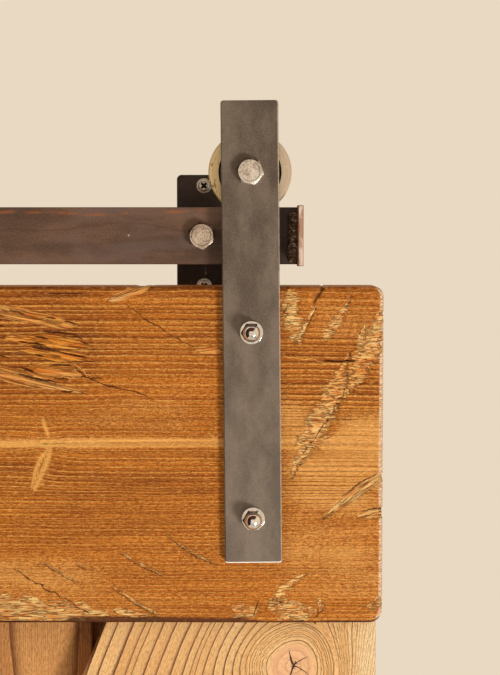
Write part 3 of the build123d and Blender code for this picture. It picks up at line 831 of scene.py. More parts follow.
def make_plank(name, left, right, rows, shares, back, carve, grain_at):
    """Left and right are the plank's sides at each row, and shares the columns' places between them."""
    x = left[:, None] + (right - left)[:, None] * shares[None, :]
    z = np.repeat(rows[:, None], len(shares), axis=1)
    x, y, z, fields = carve(x, z)
    points = np.stack([x, y, z], -1).reshape(-1, 3)
    fields = {label: [values.reshape(len(points), -1)] for label, values in fields.items()}
    index = np.arange(x.size).reshape(x.shape)
    quads = np.stack([index[:-1, :-1], index[1:, :-1], index[1:, 1:], index[:-1, 1:]], -1).reshape(-1, 4)
    rim = np.concatenate([index[0], index[1:, -1], index[-1, -2::-1], index[-2:0:-1, 0]])
    all_points, faces, ring = [points], quads.tolist(), rim
    total = len(points)
    for share in WALL_STEPS:
        all_points.append(wall_points(points[rim], back, points[rim].mean(0), share))
        following = np.arange(total, total + len(rim))
        faces += np.stack([ring, np.roll(ring, -1), np.roll(following, -1), following], -1).tolist()
        for label, values in fields.items():
            values.append(over_the_edge(label, values[0][rim], share))
        ring = following
        total += len(rim)
    faces.append(ring[::-1].tolist())
    points = np.concatenate(all_points)
    mesh = close_mesh(name, points, faces)
    grain = np.stack(grain_at(points[:, 0], points[:, 1], points[:, 2]), -1)
    fields["grain"] = [grain * (MM, MM, 1)]
    for label, values in fields.items():
        store_field(mesh, label, np.concatenate(values))
    mesh.shade_smooth()
    mesh.set_sharp_from_angle(angle=SHARP_ANGLE)
    return new_object(name, mesh)


class Plank:
    """A plank's box in millimetres, as the CAD model gives it."""

    def __init__(self, node):
        low, high = (np.array(corner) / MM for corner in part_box(node))
        self.left, self.front, self.bottom = low
        self.right, self.back, self.top = high
        self.width = self.right - self.left
        self.height = self.top - self.bottom


print("top rail's height in mm:", round(float(Plank("top_rail").height), 1))

# %% [markdown]
# ## Marks of the axe
#
# What makes these rails is the hewing: bands of long splinters, gouges across the grain with a ragged pale
# bed, thin scratches, cracks and chipped edges. Sculpting by hand would be the usual way. In code a torn
# mark is a line of points with a width and a depth, and the torn fibres in it are noise that is stretched
# along the direction in which the wood has split. Cracks, the thin pale lines of a knot and the painted
# highlights along lit lips of cracks and on slivers are lines alone, kept as distances. Places are
# millimetres from the rail's right end and below its top, and a third number is the mark's own width there.

# %% Kinds of marks
SLIT_SPREAD = 1.6


def mark(points, width, depth, lean=0.0, fibre=8.0, thick=1.4, ragged=0.8, slant=0.0, bare=1.0):
    """Lean is the direction of the torn fibres, fibre and thick are their length and thickness.

    Slant makes the mark deeper on the right of its path, and bare is how much of it shows unstained wood.
    """
    return locals()


def direction(points):
    return math.atan2(points[-1][1] - points[0][1], points[-1][0] - points[0][0])


def splinters(points, width=6.5, depth=1.5):
    """A band from which long slivers have split."""
    return mark(points, width, depth, direction(points), 16, 1.7, 0.9)


def sliver(points, width, depth=-1.2):
    """One long sliver that still stands up from such a band."""
    return mark(points, width, depth, direction(points), 22, 1.2, 0.35)


def gouge(points, width, depth=1.6, fibre=6.0, ragged=1.2):
    """A cut across the grain: short broken fibres in a pale bed."""
    return mark(points, width, depth, 0.0, fibre, 1.8, ragged, 0.8)


def scratch(points, width=3.2, depth=1.0):
    """A thin score whose fibres are torn along it."""
    return mark(points, width, depth, direction(points), 5.0, 0.9, 1.5, 0.5, 0.62)


def chip(points, width, depth=1.6, lean=0.3):
    return mark(points, width, depth, lean, 18, 3.0, 0.4)


def stroke(points, width, depth=1.6, wobble=0.5, softness=0.18):
    """A thin line that tapers to both ends, such as a crack."""
    return locals()


def slit(points, width):
    """The dark gap between two slivers."""
    return stroke(points, width * SLIT_SPREAD)


def shadow_line(torn, shift=0.9):
    """The dark crease along the lower left side of a scratch."""
    return stroke([(p[0] + shift, p[1] + shift) for p in torn["points"]], 0.9, 1.2, 0.7, 0.3)


print("a gouge:", gouge([(0, 0), (10, 5)], 6.0))

# %% Where a place lies along a mark
def place_on_line(s, t, points, width):
    """For each place: its share of the way along a line, signed distance from it, and the width there."""
    corners = np.array([p[:2] for p in points], float)
    widths = [p[2] if len(p) > 2 else width for p in points]
    lengths = np.linalg.norm(np.diff(corners, axis=0), axis=1)
    total = lengths.sum()
    best = np.full(s.shape, 1e9)
    share, signed, wide = np.zeros((3,) + s.shape)
    done = 0.0
    for k, length in enumerate(lengths):
        start = corners[k]
        way = (corners[k + 1] - start) / length
        along = np.clip((s - start[0]) * way[0] + (t - start[1]) * way[1], 0, length)
        ds = s - start[0] - along * way[0]
        dt = t - start[1] - along * way[1]
        distance = np.hypot(ds, dt)
        closer = distance < best
        best = np.where(closer, distance, best)
        share = np.where(closer, (done + along) / total, share)
        signed = np.where(closer, np.where(way[0] * dt - way[1] * ds < 0, -1, 1) * distance, signed)
        wide = np.where(closer, widths[k] + (widths[k + 1] - widths[k]) * along / length, wide)
        done += length
    return share, signed, wide


def around(s, t, points, margin):
    """The places within a margin of the box round a line."""
    corners = np.array([p[:2] for p in points], float)
    low = corners.min(0) - margin
    high = corners.max(0) + margin
    return (s > low[0]) & (s < high[0]) & (t > low[1]) & (t < high[1])


sample = place_on_line(np.array([5.0]), np.array([1.0]), [(0, 0), (10, 0)], 2.0)
print("share, distance and width:", [float(v[0]) for v in sample])

# %% Tear the fibres
TIP = 0.22
MARK_MARGIN = 6
COARSE, FINE = 0.62, 0.38


def cut_marks(s, t, marks, seed):
    """Depth of the torn marks at places s, t, how torn each place is, and the torn fibres' coordinates."""
    depth, torn, stand = np.zeros((3,) + s.shape)
    own = np.stack([s / 8, t / 1.4, np.zeros(s.shape)], -1)
    for i, m in enumerate(marks):
        near = around(s, t, m["points"], m["width"] + MARK_MARGIN)
        if not near.any():
            continue
        a, b = s[near], t[near]
        share, signed, wide = place_on_line(a, b, m["points"], m["width"])
        own_widths = len(m["points"][0]) > 2
        taper = 1.0 if own_widths else np.clip(np.minimum(share, 1 - share) / TIP, 0.04, 1) ** 0.5
        along = a * math.cos(m["lean"]) + b * math.sin(m["lean"])
        across = b * math.cos(m["lean"]) - a * math.sin(m["lean"])
        key = seed + 10 * i
        fibre = COARSE * lattice_noise(along / m["fibre"], across / m["thick"], key)
        fibre += FINE * lattice_noise(along / m["fibre"] * 2.6, across / m["thick"] * 2.2, key + 1)
        inside = 1 - 0.5 * np.abs(signed) / np.maximum(wide / 2 * taper, 0.05)
        inside = np.clip(inside, 0, 1) + 0.3 * m["ragged"] * fibre * np.clip(2 * inside, 0, 1)
        cut = soft_step(inside, 0.4, 0.62)
        if m["depth"] > 0:
            side = 1 + m["slant"] * np.clip(2 * signed / np.maximum(wide, 0.1), -1, 1)
            depth[near] = np.maximum(depth[near], cut * m["depth"] * (0.62 * side - 0.75 * fibre))
        else:
            stand[near] = np.maximum(stand[near], cut * (0.8 + 0.2 * fibre))
        bare = m["bare"] * inside
        more = bare > torn[near]
        torn[near] = np.where(more, bare, torn[near])
        coordinates = np.stack([along / m["fibre"], across / m["thick"], np.full(a.shape, key * 0.37)], -1)
        own[near] = np.where(more[:, None], coordinates, own[near])
    return depth * (1 - 0.85 * stand), torn, own


print("torn marks ready")

# %% Lay the thin lines
LINE_SHARE = 0.3
LINE_MARGIN = 5
LINE_DEPTH = 0.45
NO_LINE = (9.0, -3.0, 0.18)


def lay_lines(s, t, lines, seed):
    """Distance from the nearest line, its half width and softness, and how deep the lines cut."""
    field = np.stack([np.full(s.shape, value) for value in NO_LINE], -1)
    depth = np.zeros(s.shape)
    for i, m in enumerate(lines):
        near = around(s, t, m["points"], m["width"] + LINE_MARGIN)
        if not near.any():
            continue
        a, b = s[near], t[near]
        share, signed, wide = place_on_line(a, b, m["points"], m["width"])
        signed = signed + m["wobble"] * lattice_noise(a / 3.5, b / 3.5, seed + 3 * i)
        half = LINE_SHARE * wide * (4 * share * (1 - share)) ** 0.35
        half = half - np.maximum(np.abs(signed) - half - 0.8, 0)
        mine = half - np.abs(signed)
        closer = mine > field[near][:, 1] - np.abs(field[near][:, 0])
        new = np.stack([signed, half, np.full(a.shape, m["softness"])], -1)
        field[near] = np.where(closer[:, None], new, field[near])
        depth[near] = np.maximum(depth[near], LINE_DEPTH * m["depth"] * soft_step(mine, -0.5, 0.5))
    return field, depth


print("thin lines ready")

# %% [markdown]
# ## The top rail
#
# The marks that the photograph shows are set one by one. The part of the rail that lies outside it gets
# marks of the same kinds at random places, from a fixed seed, so the plank looks the same all along.

# %% The splinter cluster
SPLINTER_BANDS = [
    splinters([(284, 14), (262, 18), (214, 28)], 8.0),
    splinters([(264, 36), (234, 38), (204, 43)], 7.0),
    splinters([(254, 45), (226, 49), (202, 54)], 7.0),
    splinters([(284, 56, 12), (262, 62, 11), (236, 68, 7), (212, 74, 2)], 10.0),
    splinters([(250, 57), (210, 62)], 6.0),
    sliver([(274, 17), (262, 18.6), (244, 22), (215, 27)], 4.6),
    sliver([(258, 34.5), (236, 35.6), (212, 39.6), (206, 41.8)], 2.8),
    sliver([(252, 46.6), (238, 49), (221, 52.5)], 3.0),
    sliver([(227, 45), (206, 48.5)], 2.4),
    sliver([(249, 55.5), (230, 56), (211, 58)], 2.8),
    sliver([(282, 56, 9), (267, 59, 8.5), (236, 67.5, 3.5), (214, 73.2, 0.8)], 8.0),
]
SLIT_PATHS = [
    [(262, 16.5), (250, 19.3), 1.2],
    [(236, 21), (229, 22.4), 1.1],
    [(223, 24.2), (215, 25.6), 1.1],
    [(239, 31.2), (228, 31.6), (215, 33.3), 1.5],
    [(244, 34.7), (234, 37.2), 1.3],
    [(217, 34.7), (210, 36.4), 1.1],
    [(212, 38.5), (206, 40.3), 1.1],
    [(256, 38.5), (237, 40.8), 1.5],
    [(246, 42.2), (236, 43.6), (227, 45.2), 2.3],
    [(244, 47.3), (238, 48.7), 1.1],
    [(226, 46.6), (208, 49.6), 1.5],
    [(218, 52.5), (202, 52.5), 1.1],
    [(234, 55), (218, 55), 1.1],
    [(256, 61.3), (235, 66.6), 1.5],
    [(255, 56.4), (244, 59.2), 1.3],
    [(236, 65.5), (230, 66.5), 1.1],
    [(231, 64), (220, 64.8), 1.1],
    [(226, 73.5), (217, 73.5), 1.1],
    [(207, 64), (196, 64), 1.1],
    [(282, 24), (264, 28), 1.4],
    [(284, 44), (262, 50), 1.4],
]
SPLINTER_SLITS = [slit(path, width) for *path, width in SLIT_PATHS]
print("splinters and slits:", len(SPLINTER_BANDS) + len(SPLINTER_SLITS))

# %% Cracks, pale lines and painted highlights
CRACKS = [
    stroke([(217, 55), (208, 64), (187, 71), (174, 74), (161, 79)], 1.7, 1.4, 0.8),
    stroke([(181, 12), (166, 23), (150, 33), (132, 43)], 1.3, 0.9, 1.0),
    stroke([(236, 4.8), (222, 5.2), (208, 4.8)], 1.4),
    stroke([(43, 51.8), (30, 52.1), (17, 51.8)], 1.9, 2.4),
    stroke([(261, 197.6), (245, 208.4), (238, 212)], 1.3, 0.8, 1.4),
    stroke([(241.5, 210.6), (234, 215), (226, 219.7)], 1.7, 1.6, 1.2),
    stroke([(226, 220), (221, 222), (210, 229.4), (206, 233)], 1.4, 0.9, 1.4),
    stroke([(87.3, 221.5), (89, 227), (91.5, 233)], 1.5, 2.0),
    stroke([(40.4, 224.6), (43, 229), (48, 235)], 1.5, 2.0),
    stroke([(41, -3), (44, 4), (49.5, 12)], 3.2, 3.6, 0.8, 1.1),
    stroke([(46.8, 13.4), (51.4, 24), (57.4, 35.5)], 0.9, 1.4, 0.4),
    stroke([(22.5, 7), (26.5, 15), (30.6, 21.6), (36.5, 31)], 1.0, 1.0, 1.4),
    stroke([(67, 12), (69.5, 18), (66, 21.5)], 1.2, 1.2, 1.2),
    stroke(
        [(26, 70), (29.4, 77), (34, 84.5), (39, 92), (43, 99.5), (50, 109), (57.5, 118)],
        1.3, 1.2, 1.5,
    ),
    stroke([(40, 93.2), (30, 92.6), (19, 93.4)], 0.8, 0.5, 0.8),
    stroke([(43, 104.6), (36.5, 102)], 0.9, 0.8, 0.6),
    stroke([(42, 107.6), (35.6, 105)], 0.9, 0.8, 0.6),
    stroke([(59.5, 104), (61, 110), (63, 116)], 0.7, 0.6, 1.0),
    stroke([(3.5, 131), (9, 134), (17, 138.5), (29, 148)], 1.5, 2.0),
    stroke([(-1, 157), (6, 156), (15, 158.5)], 1.4, 2.0),
    stroke([(238.2, 121), (241.4, 128.2)], 1.0, 0.8, 0.2, 0.4),
    stroke([(238.6, 109.8), (235.8, 110.6)], 1.3, 0.3, 0.2, 0.5),
]
# The knot's pale figure and the pale band, and painted highlights on slivers and on the lit lower lips of
# cracks.
VEINS = [
    stroke([(292, 110.4), (262, 110.8), (236, 110)], 6.0, 0, 0.4, 0.8),
    stroke([(236, 109), (190, 108.4), (113, 107.6)], 2.2, 0, 0.3, 0.4),
    stroke([(238.6, 92), (237, 99), (234.4, 105.6)], 4.4, 0, 0.3, 1.3),
    stroke([(243, 110.6), (238, 107.8), (232, 109.8)], 2.4, 0, 0.2, 0.7),
    stroke([(243, 110.6), (237.5, 112.8), (232, 111.4)], 2.4, 0, 0.2, 0.7),
    stroke([(233, 112.6), (235.4, 121), (239.4, 130), (245.6, 144)], 6.4, 0, 0.3, 1.6),
    stroke([(233.6, 112.6), (240, 119.6), (243.8, 127.5), (247, 142)], 4.0, 0, 0.3, 1.2),
    stroke([(122.8, 102.6), (118, 107), (113, 102.4)], 1.2, 0, 0.3, 0.5),
    # Painted highlight on a lit sliver.
    stroke([(216.9, 53.6), (209.3, 59.5), (206.5, 64.8)], 1.3, 0, 0.5),
    # Painted highlight on a lit sliver.
    stroke([(260.8, 37.6), (250.4, 37.9)], 1.3, 0, 0.3),
    # Painted highlight on the lit lower lip of the crack just above it.
    stroke([(43, 53.6), (30, 53.7), (15, 53.3)], 1.0, 0, 0.4),
    stroke([(72, 48.2), (64, 49.6), (52, 51), (42, 52.6)], 1.1, 0, 1.0),
    # Painted highlight on the lit lower lip of the slit just above it.
    stroke([(205, 66), (197, 67.2)], 1.6, 0, 0.4),
    stroke([(159, 80.2), (146, 80.2)], 1.4, 0, 0.4),
]
print("cracks and veins:", len(CRACKS) + len(VEINS))

# %% Gouges, chips and scratches
RIGHT_GOUGES = [
    gouge([(47.6, 13.5, 1.4), (52.8, 24, 3.0), (58.5, 34.5, 3.4), (62, 39, 1.2)], 3.4, 1.2),
    gouge([(64, 5, 8), (65, 15, 12), (63, 27, 12), (60, 37, 7)], 12.0, 1.6),
    gouge([(23, 7, 1.2), (26.5, 14, 3), (31.5, 22, 5), (36, 29, 6.5), (39.4, 34, 6), (41, 38, 2)], 6.0, 1.3),
    gouge(
        [(2, 18, 4), (5, 26, 8), (8, 38, 12), (13, 50, 15), (18, 60, 14), (22, 68, 9)],
        12.0, 1.4, 4.0, 1.5,
    ),
    gouge([(13, 27, 2), (16, 36, 5), (15, 46, 6)], 5.0, 1.0, 4.0, 1.2),
    gouge(
        [
            (24, 45, 1.5), (27.5, 54, 3.5), (30, 62, 8), (32, 70, 14), (35, 76, 15),
            (39, 85, 13.5), (45, 94, 14.5), (48.6, 101, 15.5), (52, 108, 15),
            (54.5, 114, 11.5), (57.5, 119, 8), (61.5, 126, 4.5), (64.5, 134, 1.5),
        ],
        15.0, 1.8, 5.0, 1.1,
    ),
    mark([(2, 134, 6), (10, 139, 7.5), (24, 149, 6), (43, 164, 1)], 8.0, 1.9, 0.6, 9, 1.3, 0.6),
    mark([(-1, 159, 8), (6, 159.5, 7), (17, 162, 2)], 8.0, 2.0, 0.1, 9, 1.3, 0.6),
    gouge([(55, 203, 1.2), (61.5, 207.6, 4.2), (70, 213.5, 5.5), (74.6, 220, 6), (76, 226, 8)], 6.0, 1.3),
    gouge([(77, 223, 6), (68, 229, 14), (57, 231, 13), (48, 229, 4)], 13.0, 2.4, 5.0, 1.1),
    gouge([(106, 226, 3), (101, 230, 11), (95, 231, 12), (89, 228, 3)], 11.0, 2.0, 5.0, 1.1),
    gouge([(45, 221, 3), (43, 225, 4), (42, 228, 2)], 4.0, 1.0, 2.0),
    chip([(192, 10), (178, 4), (163, 0)], 6.0, 2.2),
    chip([(132, 44), (113, 46)], 4.5, 0.8, 0.1),
]
SCRATCHES = [
    scratch([(153, 174), (137, 186), (117, 196)]),
    scratch([(184, 187), (170, 196), (154, 204)], 3.0),
    scratch([(243, 195.4), (237, 195), (232, 199.4), (225, 203), (219, 206.6), (213.4, 210)], 2.0),
    scratch([(216, 195), (212, 197.4), (209, 199)], 2.0),
    scratch([(191, 211), (176, 222), (155, 234)], 3.4),
]
LOWER_EDGE = [
    gouge(
        [(288, 226, 16), (262, 228, 18), (240, 230, 15), (215, 230, 12), (194, 231, 3)],
        16.0, 1.0, 7.0, 1.3,
    ),
    gouge([(190, 228), (172, 233), (158, 237)], 5.0, 1.0),
    gouge([(11, 226, 2), (6, 225.5, 6), (1, 222, 5)], 6.0, 1.8, 2.4, 1.0),
]
PHOTO_MARKS = SPLINTER_BANDS + RIGHT_GOUGES + SCRATCHES + LOWER_EDGE
PHOTO_CRACKS = SPLINTER_SLITS + CRACKS + [shadow_line(torn) for torn in SCRATCHES]
print("marks placed by hand:", len(PHOTO_MARKS) + len(PHOTO_CRACKS) + len(VEINS))

# %% Marks at random places
KIND_SHARES = {"splinters": 0.25, "gouge": 0.2, "scratch": 0.3, "crack": 0.1, "edge": 0.15}


def random_marks(start, end, height, number, seed):
    """Marks and cracks of every kind between two distances from the right end."""
    rng = np.random.default_rng(seed)
    marks, cracks = [], []
    for _ in range(number):
        s = rng.uniform(start, end)
        t = rng.uniform(8, height - 8)
        kind = rng.choice(list(KIND_SHARES), p=list(KIND_SHARES.values()))
        if kind == "splinters":
            for k in range(rng.integers(2, 5)):
                reach = rng.uniform(35, 65)
                top = t + 8 * k
                ends = [(s + 6 * k, top), (s + 6 * k - reach, top + 0.2 * reach)]
                marks += [splinters(ends), sliver(ends, 2.6)]
                cracks.append(stroke([(s + 6 * k - 4, top + 3.4), (s + 6 * k - 24, top + 7)], 1.5))
        elif kind == "gouge":
            reach = rng.uniform(20, 70)
            path = [(s, t), (s + 0.35 * reach, t + 0.6 * reach), (s + 0.6 * reach, t + reach)]
            marks.append(gouge(path, 9.0))
            cracks.append(stroke([(a - 4, b - 1) for a, b in path], 1.2, 1.2, 1.4))
        elif kind == "scratch":
            for k in range(rng.integers(1, 4)):
                marks.append(scratch([(s - 30 * k, t + 6 * k), (s - 30 * k - 34, t + 6 * k + 20)]))
                cracks.append(shadow_line(marks[-1]))
        elif kind == "crack":
            cracks.append(stroke([(s, t), (s - 25, t + 6), (s - 52, t + 10)], 1.4, 1.6, 1.0))
        else:
            edge = rng.choice([1.0, height - 1.0])
            marks.append(chip([(s, edge), (s - 22, edge)], 7.0))
    return marks, cracks


print("a random sample:", [len(found) for found in random_marks(0, 300, 200, 5, 1)])

# %% [markdown]
# ## Shades and knots of the rails
#
# Stain never takes evenly. A shade is a soft patch, given by its middle, its half widths and how much lighter
# or darker it is, and the strength of the ring lines varies in the same way. A knot bends the rings round
# it, and the pointed one in the top rail also draws them up on its right side.

# %% Shades and contrasts
RIGHT_SHADES = [
    # Painted shade: a darker strip along the top edge, whose rounding faces up, away from the light from
    # below.
    (150, 3, 160, 4.5, -0.5),
    (240, 44, 44, 42, -0.9),
    (150, 36, 60, 30, -0.2),
    (150, 78, 90, 24, 0.34),
    (122, 70, 16, 70, -0.3),
    (150, 92, 130, 12, 0.1),
    (150, 109.7, 130, 3.6, 1.2),
    (185, 154, 80, 34, -0.34),
    (66, 92, 14, 24, 0.6),
    (240, 208, 60, 16, 0.45),
    (110, 205, 60, 22, 0.05),
    (24, 24, 26, 16, 0.35),
    (36, 64, 46, 24, -0.45),
    (14, 108, 18, 22, 0.95),
    (34, 132, 34, 30, 0.8),
    (36, 196, 40, 28, 0.42),
]
RIGHT_CONTRASTS = [
    (240, 44, 44, 42, 0.55),
    (36, 62, 50, 28, 0.6),
    (150, 30, 60, 26, 0.2),
    (150, 82, 90, 26, -0.25),
    (30, 140, 36, 30, 0.2),
    (150, 205, 150, 36, -0.2),
]


def soft_patches(s, t, patches):
    total = np.zeros(s.shape)
    for middle_s, middle_t, half_s, half_t, value in patches:
        far = ((s - middle_s) / half_s) ** 4 + ((t - middle_t) / half_t) ** 4
        total += value * np.exp(-far)
    return total


def random_shades(start, end, height, seed):
    rng = np.random.default_rng(seed)
    number = int((end - start) / 22)
    middles = zip(rng.uniform(start, end, number), rng.uniform(0, height, number))
    return [(s, t, rng.uniform(30, 110), rng.uniform(4, 34), rng.uniform(-0.6, 0.6)) for s, t in middles]


print("shades:", len(RIGHT_SHADES), "contrasts:", len(RIGHT_CONTRASTS))

# %% Rings round a knot
RING_STOPS = [(-40, 4.2), (40, 3.8), (78, 3.6), (84, 2.2), (113, 2.4), (165, 2.4), (180, 2.1), (300, 2.3)]
SPIKE_SLOPE = 0.42
SPIKE_START = (2, 9)
SPIKE_END = (24, 40)
DRAWN_RIGHT = (3.4, 9)
DRAWN_LEFT = (-1.0, 6)


def ring_width(place):
    """The usual width of a ring at a distance below the rail's top."""
    return float(np.interp(place, *zip(*RING_STOPS)))


def bend_round_knot(bent, s, t, knot_s, knot_t, reach, lift):
    """Pushes the rings apart at a knot, and draws them up beside the spike below it."""
    far = ((s - knot_s) / reach) ** 2 + ((t - knot_t) / (0.8 * reach)) ** 2
    bent = bent + lift * np.sign(t - knot_t) * np.exp(-far) * np.minimum(1, np.abs(t - knot_t) / 3)
    start, end = (knot_t + np.array(stops) for stops in (SPIKE_START, SPIKE_END))
    window = soft_step(t, *start) * (1 - soft_step(t, *end))
    aside = knot_s - 4 + SPIKE_SLOPE * (t - knot_t - 3) - s
    right, left = (pull * np.exp(-np.abs(aside) / run) for pull, run in (DRAWN_RIGHT, DRAWN_LEFT))
    return bent + np.where(aside > 0, right, left) * window


print("ring width at mid height:", ring_width(119))

# %% [markdown]
# ## A rail
#
# Both rails come from one class, which turns a grid of places into depths and fields. It grows in three
# steps: the wood with its rings, the planed and stained face, and the carving, which adds up the marks and
# cracks, rounds the edges and lets deep marks bite into the outline too.

# %% The wood of a rail
RING_WAVES = [(1.1, 170, 60, 1), (0.35, 26, 9, 2), (0.12, 6, 4, 7)]
TOP_WOOD = {
    "knots": [(238, 110, 13, 2.2), (560, 150, 22, 4.0), (790, 62, 18, 3.5)],
    "band": (106, 113.2),
    "seed": 21,
}
LOW_WOOD = {"knots": [(180, 90, 20, 3.5), (640, 150, 22, 4.0)], "band": (70, 76), "seed": 61}


class RailWood(Plank):
    """The rings of a rail. No line lies inside the band, which is one wide pale ring."""

    def __init__(self, node, knots, band, seed):
        super().__init__(node)
        self.knots, self.seed = knots, seed
        above = ring_lines(-60, band[0], ring_width, seed)
        above = above[above < band[0] - 1]
        self.rings = np.concatenate([above, [band[0]], ring_lines(band[1], 340, ring_width, seed + 1)])

    def noise(self, s, t, length, width, number):
        """One of the rail's own noises, stretched to a length along it and a width across it."""
        return lattice_noise(s / length, t / width, self.seed + number)

    def across(self, x, y, z):
        """Distance across the grain from the rail's top, with slow waves and bends round the knots."""
        s = self.right - x
        t = self.top - z
        bent = t
        for height, length, width, number in RING_WAVES:
            bent = bent + height * self.noise(s, t, length, width, number)
        for knot in self.knots:
            bent = bend_round_knot(bent, s, t, *knot)
        inward = y - self.front
        return bent + 0.75 * inward + 0.006 * inward**2

    def grain(self, x, y, z):
        across = self.across(x, y, z)
        return x, across, rings_before(across, self.rings)


print("rings of the top rail:", len(RailWood("top_rail", **TOP_WOOD).rings))

# %% The face of a rail
TOP_CORNER = 7.0
BOTTOM_CORNER = 9.5
RIDGE = 0.28
HOLLOW = 0.6
WIDE_RING = 3.7
SEEN_LENGTH = 285.0
DARK_EDGE_RUN = (108, 232)


class RailFace(RailWood):
    """The outline of a rail, the tint of its stain and the relief of its brushed rings."""

    def __init__(self, node, shades, contrasts, **wood):
        super().__init__(node, **wood)
        self.shades, self.contrasts = shades, contrasts

    def edge_distance(self, s, t):
        """How far a place is inside the outline with its round corners."""
        corner = np.where(t < self.height / 2, TOP_CORNER, BOTTOM_CORNER)
        a = np.abs(s - self.width / 2) - (self.width / 2 - corner)
        b = np.abs(t - self.height / 2) - (self.height / 2 - corner)
        outside = np.hypot(np.maximum(a, 0), np.maximum(b, 0))
        return corner - outside - np.minimum(np.maximum(a, b), 0)

    def tint(self, s, t):
        """Shade, strength of the ring lines, and height above the dark part of the lower edge."""
        shade = soft_patches(s, t, self.shades)
        shade += 0.22 * self.noise(s, t, 80, 9, 5) + 0.14 * self.noise(s, t, 24, 5, 6)
        contrast = 0.38 + soft_patches(s, t, self.contrasts) + 0.25 * self.noise(s, t, 60, 20, 8)
        start, end = DARK_EDGE_RUN
        clear = 2.6 * (1 - soft_step(s, start - 20, start)) + 3.2 * soft_step(s, end - 20, end)
        clear = np.where(s > SEEN_LENGTH + 20, 1.6 + 1.6 * self.noise(s, 0 * s, 90, 1, 9), clear)
        return np.stack([np.clip(shade, -1, 1), np.clip(contrast, 0, 1), self.height - t + clear], -1)

    def relief(self, x, z, s, t, inside):
        """How far the planed and brushed face lies behind the plank's front."""
        across = self.across(x, np.full(x.shape, self.front), z)
        before = np.clip(np.searchsorted(self.rings, across) - 1, 0, len(self.rings) - 2)
        ridge = RIDGE * np.clip((self.rings[before + 1] - self.rings[before]) / WIDE_RING, 0.3, 1)
        valley = 1 - ridge_height(rings_before(across, self.rings))
        planed = HOLLOW * (0.5 + 0.5 * self.noise(s, t, 45, 30, 4))
        return planed * np.minimum(1, inside / 4), ridge * valley


print("corner radii of a rail:", TOP_CORNER, BOTTOM_CORNER)

# %% The carving of a rail
ROUNDING = 3.5
EDGE_ROWS = 7
BITE_REACH = 8
END_REACH = (7, 4)


class Rail(RailFace):
    """A rail with its marks, cracks and pale lines, some of which are painted highlights."""

    def __init__(self, node, marks, lines, veins, **face):
        super().__init__(node, **face)
        self.marks, self.lines, self.veins = marks, lines, veins

    def carve(self, x, z):
        s = self.right - x
        t = self.top - z
        depth, torn, own = cut_marks(s, t, self.marks, self.seed)
        crack, slit_depth = lay_lines(s, t, self.lines, self.seed + 400)
        vein, _ = lay_lines(s, t, self.veins, self.seed + 700)
        rounding = ROUNDING * (1.1 + 0.3 * self.noise(s, t, 55, 55, 3))
        inside = np.maximum(self.edge_distance(s, t), 0)
        planed, ridges = self.relief(x, z, s, t, inside)
        y = self.front + rounded(inside, rounding) + planed + ridges + depth + slit_depth
        bite = 0.5 * (depth + slit_depth) * np.clip(1 - inside / BITE_REACH, 0, 1)
        right, left = (np.clip(1 - far / BITE_REACH, 0, 1) for far in (s, x - self.left))
        above, below = (np.clip(1 - far / BITE_REACH, 0, 1) for far in (t, z - self.bottom))
        x = x - bite * right + bite * left
        z = z - bite * above + bite * below
        end = soft_step(np.minimum(s, self.width - s), *END_REACH)
        tint = self.tint(s, t)
        return x, y, z, {"torn": torn, "fibre": own, "crack": crack, "vein": vein, "tint": tint, "end": end}

    def build(self, name, column_stops, row_step):
        """Makes the mesh, with its sides drawn in at the round corners."""
        top, bottom = edge_steps(TOP_CORNER, EDGE_ROWS), edge_steps(BOTTOM_CORNER, EDGE_ROWS)
        rows = stepped([(TOP_CORNER, row_step), (self.height - BOTTOM_CORNER, 0)])
        below = np.concatenate([top[:-1], rows, self.height - bottom[-2::-1]])
        inset = rounded(below, TOP_CORNER) + rounded(self.height - below, BOTTOM_CORNER)
        edge = edge_steps(ROUNDING, 5)
        inner = [(ROUNDING, column_stops[0][1])] + column_stops[1:] + [(self.width - ROUNDING, 0)]
        from_right = np.concatenate([edge[:-1], stepped(inner), self.width - edge[-2::-1]])
        sides = self.left + inset, self.right - inset
        shares = 1 - from_right[::-1] / self.width
        return make_plank(name, *sides, self.top - below, shares, self.back, self.carve, self.grain)


print("steps across a rounded edge:", len(edge_steps(ROUNDING, 5)))

# %% Carve the top rail
RAIL_LENGTH = Plank("top_rail").width
RAIL_HEIGHT = Plank("top_rail").height
far_marks, far_cracks = random_marks(SEEN_LENGTH + 15, RAIL_LENGTH - 10, RAIL_HEIGHT, number=17, seed=11)
far_shades = random_shades(SEEN_LENGTH + 30, RAIL_LENGTH, RAIL_HEIGHT, seed=13)
top = Rail(
    "top_rail",
    marks=PHOTO_MARKS + far_marks,
    lines=PHOTO_CRACKS + far_cracks,
    veins=VEINS,
    shades=RIGHT_SHADES + far_shades,
    contrasts=RIGHT_CONTRASTS,
    **TOP_WOOD,
)
top_rail = top.build("hewn_top_rail", [(0, 1.6), (SEEN_LENGTH, 8.0)], row_step=0.68)

# %% Carve the bottom rail
low_marks, low_cracks = random_marks(5, RAIL_LENGTH - 10, RAIL_HEIGHT, number=26, seed=12)
bottom = Rail(
    "bottom_rail",
    marks=low_marks,
    lines=low_cracks,
    veins=[],
    shades=random_shades(0, RAIL_LENGTH, RAIL_HEIGHT, seed=14),
    contrasts=[],
    **LOW_WOOD,
)
bottom_rail = bottom.build("hewn_bottom_rail", [(0, 4.0), (SEEN_LENGTH, 4.0)], row_step=1.2)
for piece, node in ((top_rail, "top_rail"), (bottom_rail, "bottom_rail")):
    piece.data.materials.append(stained_wood)
    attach(piece, "door")
    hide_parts(node)

